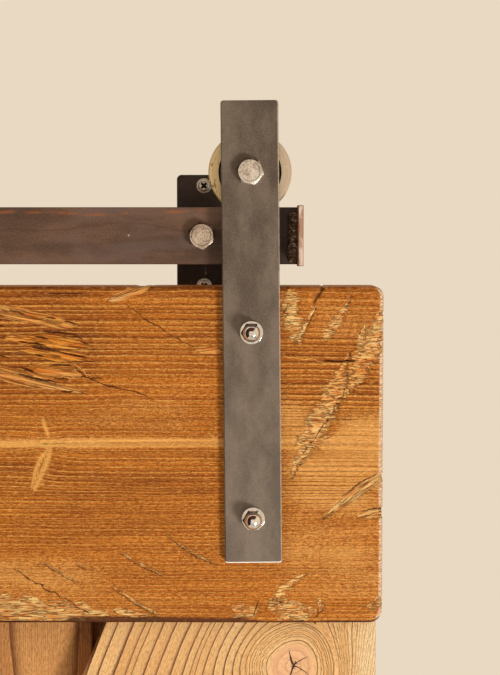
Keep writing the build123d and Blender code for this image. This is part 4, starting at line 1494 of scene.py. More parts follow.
# %% [markdown]
# ## The brace and its knot
#
# The brace rises from the left of the lower rail to the right of the upper one. Its grain runs along it, and
# near the top it has to pass a branch. The fibres part round a branch as water parts round a pile, and
# close behind it again, so outside the knot's collar the lines follow the flow round a cylinder. In the
# collar the rings are crowded circles, and drying has split the smooth heart into a star.

# %% The wood of the brace
BRACE_TOP_CUT = 193.0
BRACE_SIDE_CUT = 50.0
BRACE_KNOTS = [(998.0, -308.6, 16.5), (700.0, -930.0, 12.0), (420.0, -1500.0, 13.0)]
BRACE_RINGS = (7.2, 6.5, 6.0, 2.5, 2.3)
KNOT_COLLAR = 2.0
COLLAR_CROWDING = 1.25
KNOT_INFLUENCE = 210.0


class BraceWood(Plank):
    """The fibres of the brace, which part round its knots."""

    def __init__(self, node):
        super().__init__(node)
        run = self.width - BRACE_TOP_CUT
        climb = self.height - BRACE_SIDE_CUT
        length = math.hypot(run, climb)
        self.way = (run / length, climb / length)
        middle = self.across_straight(*BRACE_KNOTS[0][:2])
        places = [middle - 30, middle - 6, middle, middle + 3, middle + 70]
        widths = lambda place: float(np.interp(place, places, BRACE_RINGS))
        self.rings = ring_lines(middle - 300, middle + 260, widths, 31)

    def across_straight(self, x, z):
        """Distance to the right of a line along the brace through the origin."""
        return x * self.way[1] - z * self.way[0]

    def flow(self, x, z):
        """Distance across the fibres, bent round each knot, and how far inside a knot a place is."""
        quiver = 0.5 * lattice_noise(x / 16, z / 40, 34)
        bent = self.across_straight(x, z) + 1.6 * lattice_noise(x / 80, z / 170, 33) + quiver
        core = np.zeros(np.shape(bent))
        for knot_x, knot_z, size in BRACE_KNOTS:
            dx = x - knot_x
            dz = z - knot_z
            far = np.hypot(dx, dz) * (1 + 0.05 * np.sin(3 * np.arctan2(dz, dx) + 1)) + quiver
            collar = KNOT_COLLAR * size
            middle = self.across_straight(knot_x, knot_z)
            side = self.across_straight(x, z) - middle
            parted = np.exp(-((far / KNOT_INFLUENCE) ** 4)) * side * (collar / np.maximum(far, collar)) ** 2
            inner = COLLAR_CROWDING * (collar - np.maximum(far, size)) + 0.3 * np.maximum(size - far, 0)
            bent = np.where(far < collar, middle + inner, bent - parted)
            core = np.maximum(core, soft_step(size - far, -0.5, 2.5))
        return bent, core

    def grain(self, x, y, z):
        bent, _ = self.flow(x, z)
        bent = bent + 0.6 * (y - self.front)
        along = x * self.way[0] + z * self.way[1]
        return along, bent, rings_before(bent, self.rings)


lean = math.degrees(math.atan2(*BraceWood("brace").way))
print("the brace leans by", round(lean, 1), "degrees")

# %% The planed brace
BRACE_ROUNDING = 2.4
BRACE_RELIEF = 0.34
STAR_ARMS = ((2.0, 0.78, 3.0), (0.75, 0.84, 1.6), (-0.25, 0.95, 1.6), (-1.72, 0.85, 2.4))


class Brace(BraceWood):
    """The planed brace, with its slanting sides and the drying cracks of its knots."""

    def stars(self):
        """The drying cracks of the knots, as lines of (x, z)."""
        arms = []
        for i, (knot_x, knot_z, size) in enumerate(BRACE_KNOTS):
            for turn, reach, width in STAR_ARMS:
                turn += 0.5 * i
                points = [(knot_x, knot_z, 1.5 * width)]
                for share in (0.35, 0.7, 1.0):
                    bend = turn + 0.35 * share * math.sin(5 * turn)
                    way = reach * size * share
                    point = (knot_x + way * math.cos(bend), knot_z + way * math.sin(bend))
                    points.append(point + (width * (1.15 - share),))
                arms.append(stroke(points, width, 1.5, 0.25, 0.2))
        return arms

    def carve(self, x, z):
        front = np.full(x.shape, self.front)
        rings = self.grain(x, front, z)[2]
        _, core = self.flow(x, z)
        crack, slit_depth = lay_lines(x, z, self.stars(), 36)
        low, high = self.sides(z)
        near = np.minimum((x - low) * self.way[1], (high - x) * self.way[1])
        waves = 0.35 * (0.5 + 0.5 * lattice_noise(x / 30, z / 50, 35))
        ridges = BRACE_RELIEF * (1 - ridge_height(rings))
        y = self.front + rounded(near, BRACE_ROUNDING) + waves + ridges + slit_depth
        return x, y, z, {"torn": core, "crack": crack}

    def sides(self, z):
        """The brace's left and right side at each height."""
        low = self.left + (z - self.bottom - BRACE_SIDE_CUT) * self.way[0] / self.way[1]
        high = self.right - (self.top - BRACE_SIDE_CUT - z) * self.way[0] / self.way[1]
        return np.maximum(low, self.left), np.minimum(high, self.right)

    def build(self, name):
        z = self.top - stepped([(0, 1.2), (130, 4.0), (self.height, 0)])
        low, high = self.sides(z)
        edge = edge_steps(BRACE_ROUNDING, 4) / BRACE_TOP_CUT
        inner = np.linspace(edge[-1], 1 - edge[-1], 126)
        shares = np.concatenate([edge[:-1], inner, 1 - edge[-2::-1]])
        return make_plank(name, low, high, z, shares, self.back, self.carve, self.grain)


print("drying cracks in the brace:", len(Brace("brace").stars()))

# %% Carve the brace
brace = Brace("brace").build("knotted_brace")
brace.data.materials.append(brace_wood)
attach(brace, "door")
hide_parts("brace")

# %% [markdown]
# ## Steel
#
# Hot-rolled bar comes with mill scale, a thin skin of oxide that is mottled, a little smeared along the bar
# and rubbed off at the edges. The edges need no painting by hand: a chamfer is the only flat that faces
# between two axes, so the direction of the surface gives a mask of the rubbed edges on every square bar.
# The pale edge colour goes only on edges that face right, towards the key light, so it is wear and a
# painted highlight at once. The edges that face down get a mask of their own, for the strap's white painted
# highlight. One group gives these edge masks and one the mill scale; they are used by the straps, the
# track, the stops and the plates.

# %% Worn edges group
edges_group, given, result = new_group(
    "worn edges", [("Place", VECTOR)], [("Wear", FLOAT), ("Lower wear", FLOAT)]
)
tree = edges_group
normal = put(tree, "ShaderNodeNewGeometry").outputs["True Normal"]
flat = parts_of(tree, put(tree, "ShaderNodeVectorMath", {0: normal}, operation="ABSOLUTE").outputs[0])
most = maths(tree, "MAXIMUM", maths(tree, "MAXIMUM", flat[0], flat[1]), flat[2])
bevel = slope(tree, most, 0.985, 0.93)
rubbed = slope(tree, noise(tree, given["Place"], 160, 3), 0.3, 0.55, 0.45, 1.0)
# Bevels that face down: the mask for a painted highlight where the light from below catches them.
lower = slope(tree, parts_of(tree, normal)[2], -0.3, -0.5)
fill(tree, result, {"Wear": times(tree, bevel, rubbed), "Lower wear": times(tree, bevel, lower)})
print("group:", edges_group.name)

# %% Mill scale group
scale_group, given, result = new_group(
    "mill scale",
    [("Place", VECTOR), ("Stretch", VECTOR)],
    [("Clouds", FLOAT), ("Stains", FLOAT), ("Grit", FLOAT), ("Specks", FLOAT)],
)
tree = scale_group
drawn = scaled(tree, given["Place"], given["Stretch"])
dots = put(tree, "ShaderNodeTexVoronoi", {"Vector": given["Place"], "Scale": 85.0}).outputs
rare = slope(tree, parts_of(tree, dots["Color"])[0], 0.86, 0.88)
near = slope(tree, dots["Distance"], 0.075, 0.045)
fill(tree, result, {
    "Clouds": slope(tree, noise(tree, drawn, 48, 4, 0.6), 0.36, 0.64),
    "Stains": slope(tree, noise(tree, drawn, 17, 3, 0.55), 0.45, 0.68),
    "Grit": noise(tree, given["Place"], 1400, 3, 0.6),
    "Specks": times(tree, rare, near),
})
print("group:", scale_group.name)

# %% Steel with mill scale
ROLLED_COLOURS = (82, 58, 42), (126, 92, 72)
UNSTRETCHED = (1.0, 1.0, 1.0)


def make_scaled_steel(name, dark, light, worn, metallic, roughness, stretch):
    """Everything but the base colour's last wire, so that each bar can add its own marks."""
    material, tree, shader = new_material(name)
    place = object_place(tree)
    skin = use_group(tree, scale_group, {"Place": place, "Stretch": stretch})
    edges = use_group(tree, edges_group, {"Place": place})
    grit = slope(tree, skin["Grit"], 0.36, 0.64)
    tone = scale_add(tree, skin["Clouds"], 0.55, times(tree, grit, 0.45))
    tone = minus(tree, tone, times(tree, skin["Stains"], 0.34))
    base = blend(tree, tone, dark, light)
    # Wear and painted highlight: the pale edge colour goes only on rubbed edges that face right, towards the
    # key light.
    sunny = slope(tree, surface_direction(tree)[0], -0.1, 0.3)
    base = over(tree, base, worn, edges["Wear"], sunny, 0.8)
    base = over(tree, base, (206, 194, 180), skin["Specks"], 0.7)
    rough = scale_add(tree, skin["Clouds"], -0.1, roughness + 0.05)
    rough = scale_add(tree, edges["Wear"], -0.12, rough)
    fill(tree, shader, {"Metallic": metallic, "Roughness": rough})
    bumped(tree, shader, skin["Grit"], 0.00014)
    return material, tree, shader, base, place, edges


print("scaled steel ready")

# %% Strap steel
def make_strap_steel():
    dark, light, worn = (88, 74, 61), (132, 116, 102), (206, 192, 176)
    material, tree, shader, base, place, edges = make_scaled_steel(
        "strap mill scale", dark, light, worn, 0.45, 0.5, (1.0, 1.0, 0.5)
    )
    height = parts_of(tree, place)[2]
    lower = slope(tree, height, 0.03, -0.26)
    base = over(tree, base, (150, 140, 130), lower, 0.2)
    reddish = slope(tree, height, 0.094, 0.1015)
    base = over(tree, base, (128, 82, 60), reddish, 0.35)
    # Painted highlight: the bevels that face down are painted white, where the light from below catches them,
    # and made less metallic so that the white shows.
    base = over(tree, base, (255, 252, 248), edges["Lower wear"])
    metallic = slope(tree, edges["Lower wear"], 0.0, 0.6, 0.45, 0.0)
    fill(tree, shader, {"Base Color": base, "Metallic": metallic})
    return material


strap_steel = make_strap_steel()
print("material:", strap_steel.name)

# %% Track steel
BURNT_FROM = (0.968, 0.986)


def rust_and_tide(tree, place, base):
    """Orange streaks and one wavy tide line along the bar."""
    height = parts_of(tree, place)[2]
    wave = streaky(tree, place, 9, 0, 0, 3)
    away = minus(tree, height, scale_add(tree, wave, 0.016, 0.008))
    broken = slope(tree, streaky(tree, place, 60, 60, 200, 2), 0.42, 0.6)
    streak = times(tree, slope(tree, maths(tree, "ABSOLUTE", away), 0.0016, 0.0004), broken)
    base = over(tree, base, (160, 90, 46), streak, 0.6)
    tide = streaky(tree, place, 12, 0, 0, 2)
    away = minus(tree, height, scale_add(tree, tide, -0.034, 0.021))
    near = slope(tree, maths(tree, "ABSOLUTE", away), 0.0011, 0.0002, 0.0, 0.35)
    return over(tree, base, (84, 50, 34), near)


def make_track_steel():
    material, tree, shader, base, place, _ = make_scaled_steel(
        "rusted track", *ROLLED_COLOURS, (138, 106, 84), 0.3, 0.5, (0.35, 1.0, 1.2)
    )
    mauve = slope(tree, streaky(tree, place, 14, 14, 46, 3), 0.46, 0.64)
    base = over(tree, base, (112, 90, 84), mauve, 0.5)
    base = rust_and_tide(tree, place, base)
    # The bar is painted darker near both ends.
    from_middle = maths(tree, "ABSOLUTE", parts_of(tree, place)[0])
    burnt = slope(tree, scale_add(tree, mauve, 0.004, from_middle), *BURNT_FROM)
    base = over(tree, base, (44, 28, 18), burnt, 0.85)
    fill(tree, shader, {"Base Color": base})
    return material


track_steel = make_track_steel()
print("material:", track_steel.name)

# %% Stop steel
RUST_LINE = (1.0021, 1.0012)


def make_stop_steel():
    """The stops' sawn front edge is bare and pale, partly a painted highlight, with a rust line on its inner
    side.
    """
    material, tree, shader, base, place, _ = make_scaled_steel(
        "sawn stop", *ROLLED_COLOURS, (150, 118, 96), 0.3, 0.5, UNSTRETCHED
    )
    front = slope(tree, surface_direction(tree)[1], -0.6, -0.85)
    cloud = streaky(tree, place, 200, 200, 90, 3)
    bare = blend(tree, slope(tree, cloud, 0.36, 0.62), (176, 138, 112), (232, 204, 182))
    from_middle = maths(tree, "ABSOLUTE", parts_of(tree, place)[0])
    rust = slope(tree, scale_add(tree, cloud, 0.0014, from_middle), *RUST_LINE)
    bare = over(tree, bare, (134, 74, 40), rust, 0.9)
    # Pale front edge: bare steel, and partly a painted highlight.
    fill(tree, shader, {"Base Color": over(tree, base, bare, front)})
    return material


stop_steel = make_stop_steel()
print("material:", stop_steel.name)

# %% [markdown]
# ## Black plates, welds and plated fasteners
#
# The wall plates have a thin black oxide. Weld metal is left as it cooled: dark, blotched with blue and
# brown, rough with spatter. Zinc plate is grey-white and never quite even, because the plating grows in
# small crystals, and the track bolts get a darker, browner grey. The dome nuts are polished until they
# mirror the room. All are one recipe, a metal with fine grit in its roughness and bump.

# %% Plates and welds
def make_plate_black():
    material, tree, shader, base, place, _ = make_scaled_steel(
        "black oxide", (36, 26, 19), (68, 50, 38), (108, 84, 66), 0.2, 0.5, UNSTRETCHED
    )
    # Pale specks scattered over the plate.
    flakes = slope(tree, streaky(tree, place, 110, 110, 70, 2), 0.7, 0.76)
    fill(tree, shader, {"Base Color": over(tree, base, (150, 140, 120), flakes, 0.7)})
    return material


def make_weld_metal():
    material, tree, shader = new_material("weld metal")
    place = object_place(tree)
    clouds = noise(tree, place, 140, 4, 0.6)
    base = blend(tree, slope(tree, clouds, 0.35, 0.65), (58, 38, 26), (112, 86, 66))
    glints = slope(tree, noise(tree, place, 420, 3), 0.52, 0.66)
    base = over(tree, base, (190, 158, 132), glints, 0.75)
    rough = slope(tree, clouds, 0.3, 0.7, 0.42, 0.62)
    fill(tree, shader, {"Base Color": base, "Metallic": 0.4, "Roughness": rough})
    bumped(tree, shader, noise(tree, place, 700, 3), 0.00025)
    return material


plate_black = make_plate_black()
weld_metal = make_weld_metal()
print("materials:", plate_black.name, "and", weld_metal.name)

# %% Plating
def make_plating(name, dull, bright, roughness, grain_size, relief, dark_recess=False):
    material, tree, shader = new_material(name)
    place = object_place(tree)
    crystals = noise(tree, place, grain_size, 3, 0.6)
    clouds = noise(tree, place, grain_size / 9, 2)
    mix = scale_add(tree, crystals, 0.5, times(tree, clouds, 0.5))
    base = blend(tree, slope(tree, mix, 0.35, 0.62), dull, bright)
    if dark_recess:
        # Painted shade: the cross recess of a screw is painted near black.
        base = over(tree, base, (22, 17, 14), attribute(tree, "recess", "Fac"))
    rough = slope(tree, clouds, 0.3, 0.7, roughness - 0.05, roughness + 0.07)
    fill(tree, shader, {"Base Color": base, "Metallic": 1.0, "Roughness": rough})
    bumped(tree, shader, crystals, relief)
    return material


bright_zinc = make_plating("bright zinc", (172, 158, 146), (248, 240, 232), 0.24, 700, 0.0002)
dull_zinc = make_plating("weathered zinc", (122, 104, 88), (226, 208, 192), 0.28, 700, 0.0002)
screw_zinc = make_plating("screw zinc", (178, 176, 164), (250, 246, 236), 0.4, 900, 0.00006, dark_recess=True)
polished = make_plating("polished dome", (214, 208, 202), (246, 242, 238), 0.07, 900, 0.000006)
bearing_steel = make_plating("ground bearing steel", (168, 170, 174), (208, 210, 214), 0.2, 700, 0.00001)
cage_brass = make_plating("turned brass", (170, 120, 56), (214, 166, 92), 0.3, 600, 0.00003)
print("plated finishes ready")

# %% [markdown]
# ## The wheels
#
# The wheels are turned on a lathe and plated with yellow zinc. A lathe leaves fine circles, so the pattern
# depends on the distance from the axle alone, plus a slow change of tint round it, as passivated zinc drifts
# from straw to pink. A Mapping node puts the axle at the pattern's middle, once for each wheel. The bottom
# of the recess round the bearing is painted dark and greenish: painted shade, with a greenish tint.

# %% Yellow zinc
RECESS_EDGE = (0.0219, 0.0215)
RECESS_FRONT = (-0.0085, -0.007)


def make_yellow_zinc(node):
    low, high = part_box(node)
    axle = (low + high) / 2
    material, tree, shader = new_material("yellow zinc " + node.replace("_", " "))
    mapped = put(tree, "ShaderNodeMapping", {"Vector": object_place(tree), "Location": -axle}).outputs[0]
    x, y, z = parts_of(tree, mapped)
    radius = maths(tree, "SQRT", scale_add(tree, x, x, times(tree, z, z)))
    turned = noise(tree, vector_of(tree, radius, y), 2600, 2)
    tint = noise(tree, mapped, 16, 2)
    pink = slope(tree, scale_add(tree, tint, 0.02, x), -0.012, 0.028)
    base = blend(tree, pink, (220, 196, 150), (216, 198, 176))
    base = over(tree, base, (168, 142, 102), slope(tree, turned, 0.4, 0.65), 0.25)
    scratches = streaky(tree, mapped, 130, 130, 900, 1)
    base = over(tree, base, (240, 228, 208), slope(tree, scratches, 0.68, 0.74, 0.0, 0.5))
    scuffs = slope(tree, streaky(tree, mapped, 420, 420, 260, 2), 0.58, 0.66)
    worn_side = slope(tree, maths(tree, "ADD", x, z), -0.008, -0.024)
    base = over(tree, base, (128, 92, 52), scuffs, worn_side, 0.7)
    # Painted shade: the bottom of the recess round the bearing is painted dark and greenish, and made less
    # metallic.
    inner = times(tree, slope(tree, radius, *RECESS_EDGE), slope(tree, y, *RECESS_FRONT))
    grease = slope(tree, noise(tree, mapped, 420, 2), 0.45, 0.62)
    dirt = blend(tree, grease, (28, 38, 34), (84, 116, 100))
    base = over(tree, base, dirt, inner, 0.85)
    metallic = minus(tree, 0.9, times(tree, inner, 0.6))
    rough = slope(tree, tint, 0.3, 0.7, 0.34, 0.44)
    fill(tree, shader, {"Base Color": base, "Metallic": metallic, "Roughness": rough})
    bumped(tree, shader, turned, 0.00003)
    return material


yellow_zinc = {node: make_yellow_zinc(node) for node in ("wheel_left", "wheel_right")}
print("wheels:", list(yellow_zinc))

# %% [markdown]
# ## Dressing the CAD nodes
#
# Every CAD node keeps its shape and only gets a better material in its first slot.

# %% Give each node its finish
FINISHES = {
    track_steel: ["track_bar"],
    stop_steel: ["end_stop"],
    plate_black: ["wall_plate", "wall_tube"],
    strap_steel: ["strap"],
    dull_zinc: ["track_bolts"],
    bright_zinc: [
        "axle_bolts", "axle_nuts", "axle_washers", "axle_spacers",
        "door_bolts", "back_washers", "board_screws",
    ],
    polished: ["front_washers", "dome_nuts"],
    bearing_steel: ["bearing_inner_ring", "bearing_outer_ring", "bearing_balls"],
    cage_brass: ["bearing_cage"],
    **{material: [node] for node, material in yellow_zinc.items()},
}
dressed = 0
for name, node in nodes.items():
    for material, starts in FINISHES.items():
        if name.startswith(tuple(starts)):
            dress(node, material)
            dressed += 1
print("nodes dressed:", dressed)

# %% [markdown]
# ## Helpers for geometry trees
#
# A Geometry Nodes tree is a recipe that makes or changes a mesh. It is built once with named inputs, run as
# a modifier, and its result is then kept as a plain mesh, so that nothing is left to work out later.

# %% Geometry tree helpers
GEOMETRY = "NodeSocketGeometry"
MATERIAL = "NodeSocketMaterial"
OBJECT = "NodeSocketObject"
INTEGER = "NodeSocketInt"


def new_recipe(name, inputs):
    """A geometry tree with named inputs that puts out one geometry."""
    return new_group(name, inputs, [("Geometry", GEOMETRY)], "GeometryNodeTree")


def shape(tree, kind, sockets, **settings):
    """Adds a geometry node and returns its first output."""
    return put(tree, "GeometryNode" + kind, sockets, **settings).outputs[0]


def finish_recipe(tree, geometry, given, result):
    """The usual end of a recipe: real geometry, smooth, with its material."""
    real = shape(tree, "RealizeInstances", {"Geometry": geometry})
    smooth = shape(tree, "SetShadeSmooth", {"Geometry": real})
    painted = shape(tree, "SetMaterial", {"Geometry": smooth, "Material": given["Material"]})
    fill(tree, result, {"Geometry": painted})


print("recipe helpers ready")

# %% Run a recipe
def grow(name, tree, values, points=()):
    """Runs a geometry tree on a mesh of loose points and keeps the result as a plain mesh."""
    mesh = bpy.data.meshes.new(name)
    mesh.from_pydata(list(points), [], [])
    piece = new_object(name, mesh)
    modifier = piece.modifiers.new("recipe", "NODES")
    modifier.node_group = tree
    for item in tree.interface.items_tree:
        if item.in_out == "INPUT" and item.name in values:
            modifier[item.identifier] = values[item.name]
    bpy.context.view_layer.update()
    evaluated = piece.evaluated_get(bpy.context.evaluated_depsgraph_get())
    result = bpy.data.meshes.new_from_object(evaluated)
    piece.modifiers.remove(modifier)
    piece.data = result
    print(name, "faces:", len(result.polygons))
    return piece


print("ready to grow pieces")

# %% [markdown]
# ## Weld beads
#
# A hand-laid bead is a row of frozen puddles, like a stack of coins pushed over. It follows a path, so it is
# a curve swept with a round profile whose radius swells and falls along the way, with some noise for
# spatter. The same inner tree makes the straight beads at the end stops and the rings round the tubes.

# %% Rippled bead
bead, given, result = new_recipe("rippled bead", [
    ("Path", GEOMETRY),
    ("Radius", FLOAT, 0.004),
    ("Spacing", FLOAT, 0.0022),
    ("Roughness", FLOAT, 0.0003),
    ("Round ends", FLOAT, 0.0),
    ("Seed", FLOAT, 0.0),
])
tree = bead
fine_path = shape(tree, "ResampleCurve", {"Curve": given["Path"], "Length": 0.00035}, mode="LENGTH")
along = put(tree, "GeometryNodeSplineParameter").outputs
puddle = maths(tree, "FRACT", maths(tree, "DIVIDE", along["Length"], given["Spacing"]))
swell = maths(tree, "SQRT", minus(tree, 1.05, times(tree, puddle, puddle)))
swell = scale_add(tree, swell, 0.24, 0.76)
from_middle = maths(tree, "ABSOLUTE", scale_add(tree, along["Factor"], 2.0, -1.0))
closing = times(tree, maths(tree, "POWER", from_middle, 26.0), given["Round ends"])
closing = maths(tree, "SQRT", minus(tree, 1.02, closing))
thickness = times(tree, swell, closing, given["Radius"])
profile = shape(tree, "CurvePrimitiveCircle", {"Resolution": 24, "Radius": 1.0})
swept = {"Curve": fine_path, "Profile Curve": profile, "Scale": thickness, "Fill Caps": True}
tube = shape(tree, "CurveToMesh", swept)
grainy = {"Scale": 420.0, "Detail": 2.0, "W": given["Seed"]}
spatter = put(tree, "ShaderNodeTexNoise", grainy, noise_dimensions="4D").outputs[0]
lift = times(tree, minus(tree, spatter, 0.5), given["Roughness"])
normal = shape(tree, "InputNormal", {})
outwards = put(tree, "ShaderNodeVectorMath", {0: normal, "Scale": lift}, operation="SCALE")
moved = shape(tree, "SetPosition", {"Geometry": tube, "Offset": outwards.outputs[0]})
fill(tree, result, {"Geometry": moved})
print("tree:", bead.name)

# %% Straight and ring welds
straight_bead, given, result = new_recipe("straight weld", [
    ("Start", VECTOR),
    ("End", VECTOR),
    ("Radius", FLOAT, 0.0045),
    ("Seed", FLOAT, 0.0),
    ("Material", MATERIAL),
])
tree = straight_bead
path = shape(tree, "CurvePrimitiveLine", {"Start": given["Start"], "End": given["End"]})
sockets = {"Path": path, "Radius": given["Radius"], "Seed": given["Seed"]}
sockets.update({"Roughness": 0.0011, "Round ends": 1.0})
laid = shape(tree, "Group", sockets, node_tree=bead)
finish_recipe(tree, laid, given, result)

ring_bead, given, result = new_recipe("ring weld", [
    ("Places", GEOMETRY),
    ("Tube radius", FLOAT, 0.01),
    ("Radius", FLOAT, 0.003),
    ("Material", MATERIAL),
])
tree = ring_bead
circle = shape(tree, "CurvePrimitiveCircle", {"Resolution": 64, "Radius": given["Tube radius"]})
upright = shape(tree, "Transform", {"Geometry": circle, "Rotation": (math.pi / 2, 0, 0)})
sockets = {"Path": upright, "Radius": given["Radius"], "Roughness": 0.0006}
laid = shape(tree, "Group", sockets, node_tree=bead)
copies = shape(tree, "InstanceOnPoints", {"Points": given["Places"], "Instance": laid})
finish_recipe(tree, copies, given, result)
print("trees:", straight_bead.name, "and", ring_bead.name)

# %% Lay the beads
BEAD_RADIUS = 0.0051
RING_BEAD_RADIUS = 0.0028
BEAD_INSET = 0.0018
BEAD_END_ROOM = 0.0006
for name, side, seed in (("left", -1, 1.0), ("right", 1, 2.0)):
    low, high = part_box(f"stop_weld_{name}")
    corner = Vector((high.x if side > 0 else low.x, high.y, 0))
    corner.x -= side * BEAD_INSET
    values = {
        "Start": corner + Vector((0, 0, low.z + BEAD_END_ROOM)),
        "End": corner + Vector((0, 0, high.z - BEAD_END_ROOM)),
        "Radius": BEAD_RADIUS,
        "Seed": seed,
        "Material": weld_metal,
    }
    piece = grow(f"stop_bead_{name}", straight_bead, values)
    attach(piece, "track")
    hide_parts(f"stop_weld_{name}")

tube_boxes = [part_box(name) for name in nodes if name.startswith("wall_tube")]
tube_radius = (tube_boxes[0][1].x - tube_boxes[0][0].x) / 2
places = [((low.x + high.x) / 2, high.y, (low.z + high.z) / 2) for low, high in tube_boxes]
ring_values = {"Tube radius": tube_radius, "Radius": RING_BEAD_RADIUS, "Material": weld_metal}
piece = grow("tube_beads", ring_bead, ring_values, places)
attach(piece, "track")
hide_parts("tube_welds")

# %% [markdown]
# ## Wall screws
#
# A cross-head screw is a turned shape with two things added: a cross recess in the head and a thread on the
# shank. Both can be written as a change of one lathe grid. In the head the grid sinks inside the cross, and
# on the shank its radius follows a ridge that climbs as it turns. One screw is made that way, and a
# geometry tree sets it in every hole, with its cross turned as a screwdriver leaves it.

# %% The screw's outline
SCREW_SEGMENTS = 48
THREAD_PITCH = 2.2
THREAD_ROWS = 5
FLANGE_RADIUS = 5.65
FLANGE_RISE = 0.9
PAN_RADIUS = 4.4
CROSS_REACH = 2.8
CROSS_BLADE = 0.72
CROSS_DEPTH = 1.9
NECK_RADIUS = 2.85
SHANK_RADIUS = 2.5
CORE_SHARE = 0.7


def head_rows(rise):
    """Radius and height of the head's outline, from the middle of its top to the wall."""
    flat = 0.62 * PAN_RADIUS
    rows = [(flat * k / 9, rise) for k in range(10)]
    for turn in np.linspace(0, math.pi / 2, 8)[1:]:
        reach = flat + (PAN_RADIUS - flat) * math.sin(turn)
        rows.append((reach, FLANGE_RISE + (rise - FLANGE_RISE) * math.cos(turn)))
    rows += [(PAN_RADIUS + 0.15, FLANGE_RISE), (FLANGE_RADIUS - 0.35, FLANGE_RISE - 0.05)]
    rows += [(FLANGE_RADIUS - 0.08, FLANGE_RISE - 0.25), (FLANGE_RADIUS, 0.4), (FLANGE_RADIUS, 0.0)]
    return rows


def screw_rows(rise, neck_length, length):
    """Radius, height and thread depth of every row, from the middle of the head to the tip."""
    rows = [(radius, height, 0) for radius, height in head_rows(rise)]
    rows += [(NECK_RADIUS, 0, 0), (NECK_RADIUS, -neck_length, 0)]
    rows.append((SHANK_RADIUS * CORE_SHARE, -neck_length - 0.8, 0))
    threaded = length - neck_length - 1.0
    steps = int(threaded / THREAD_PITCH * THREAD_ROWS)
    for k in range(steps + 1):
        down = threaded * k / steps
        taper = min(1.0, (threaded - down) / (3.2 * SHANK_RADIUS))
        core = CORE_SHARE * SHANK_RADIUS * taper + 0.02
        rows.append((core, -neck_length - 1.0 - down, 0.3 * SHANK_RADIUS * min(1.0, 2.5 * taper)))
    return np.array(rows)


print("rows of a short screw:", len(screw_rows(2.5, 3.0, 20.0)))

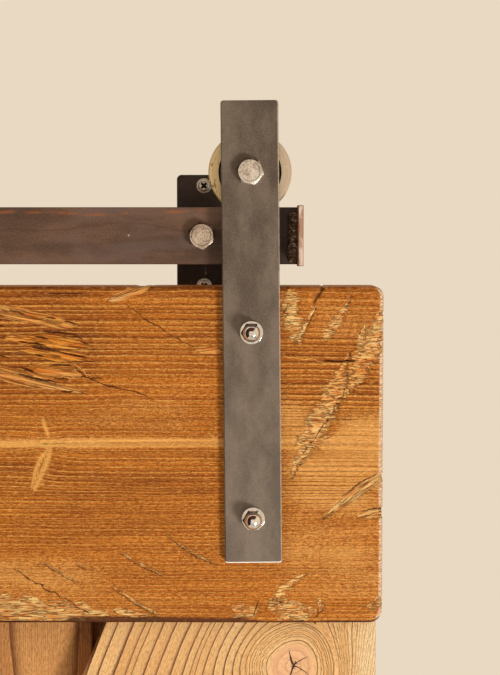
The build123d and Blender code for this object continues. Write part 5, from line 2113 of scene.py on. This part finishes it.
# %% The screw's mesh
def screw_mesh(name, rise, neck_length, length):
    """A cross-head screw that points down -Z, with the underside of its head at z = 0, in millimetres."""
    rows = screw_rows(rise, neck_length, length)
    around_axis = np.linspace(0, 2 * math.pi, SCREW_SEGMENTS, endpoint=False)
    radius = np.repeat(rows[:, :1], SCREW_SEGMENTS, axis=1)
    z = np.repeat(rows[:, 1:2], SCREW_SEGMENTS, axis=1)
    phase = (z / THREAD_PITCH + around_axis[None, :] / (2 * math.pi)) % 1.0
    radius = radius + rows[:, 2:3] * np.clip(1 - np.abs(phase - 0.5) / 0.32, 0, 1)
    x = radius * np.cos(around_axis)
    y = radius * np.sin(around_axis)
    slot_a = np.maximum(np.abs(x) - CROSS_REACH, np.abs(y) - CROSS_BLADE)
    slot_b = np.maximum(np.abs(y) - CROSS_REACH, np.abs(x) - CROSS_BLADE)
    sunk = soft_step(-np.minimum(slot_a, slot_b), -0.1, 0.3)
    z = np.where(z > 0.6 * rise, z - CROSS_DEPTH * sunk * np.clip(1.3 - radius / CROSS_REACH, 0.3, 1), z)
    points = np.stack([x, y, z], -1)[1:].reshape(-1, 3)
    points = np.concatenate([points, [[0, 0, rise - CROSS_DEPTH], [0, 0, -length]]])
    recess = np.where(np.hypot(x, y) < PAN_RADIUS, sunk, 0) * (rows[:, 1:2] > 0.6 * rise)
    recess = np.append(recess[1:].ravel(), (1, 0))
    count = len(rows) - 1
    index = np.arange(count * SCREW_SEGMENTS).reshape(count, SCREW_SEGMENTS)
    following = np.roll(index, -1, axis=1)
    faces = np.stack([index[:-1], index[1:], following[1:], following[:-1]], -1).reshape(-1, 4).tolist()
    top, tip = len(points) - 2, len(points) - 1
    faces += [[top, a, b] for a, b in zip(index[0], following[0])]
    faces += [[tip, b, a] for a, b in zip(index[-1], following[-1])]
    mesh = close_mesh(name, points, faces)
    store_field(mesh, "recess", recess[:, None])
    return mesh


low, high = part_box("wall_screws")
plate_boxes = [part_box(name) for name in nodes if name.startswith("wall_plate")]
plate_front = plate_boxes[0][0].y
rise = (plate_front - low.y) / MM
pattern = screw_mesh("screw_pattern", rise, -plate_front / MM, (high.y - plate_front) / MM)

# %% Screws in their holes
SCREW_TURN = (0.6, 0.95)
set_screws, given, result = new_recipe("screws in their holes", [
    ("Places", GEOMETRY),
    ("Screw", OBJECT),
    ("Seed", INTEGER, 4),
    ("Material", MATERIAL),
])
tree = set_screws
one = put(tree, "GeometryNodeObjectInfo", {"Object": given["Screw"]}).outputs["Geometry"]
least, most = ((math.pi / 2, turn, 0.0) for turn in SCREW_TURN)
limits = {"Min": least, "Max": most, "Seed": given["Seed"]}
spin = put(tree, "FunctionNodeRandomValue", limits, data_type="FLOAT_VECTOR").outputs[0]
turned = put(tree, "FunctionNodeEulerToRotation", {0: spin}).outputs[0]
placing = {"Points": given["Places"], "Instance": one, "Rotation": turned}
finish_recipe(tree, shape(tree, "InstanceOnPoints", placing), given, result)
print("tree:", set_screws.name)

# %% Set the screws
screw = new_object("screw_pattern", pattern)
offset = (high.z - low.z) / 2 - FLANGE_RADIUS * MM
places = []
for plate_low, plate_high in plate_boxes:
    for sign in (-1, 1):
        middle = (plate_low + plate_high) / 2
        places.append((middle.x, plate_front, middle.z + sign * offset))
screws = grow("cross_head_screws", set_screws, {"Screw": screw, "Seed": 4, "Material": screw_zinc}, places)
bpy.data.objects.remove(screw)
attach(screws, "track")
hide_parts("wall_screws")

# %% [markdown]
# ## Compare the size
#
# Blender never changes how big the object is. The CAD box was kept at the start, and the box of the dressed
# model is worked out beside it for comparison.

# %% Work out the sizes
visual_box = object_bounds()
sizes = {
    "cad": [[float(v) for v in corner] for corner in cad_box],
    "visual": [[float(v) for v in corner] for corner in visual_box],
}
difference = np.abs(np.array(sizes["cad"]) - np.array(sizes["visual"])).max() / MM
print("largest difference in mm:", round(float(difference), 2))
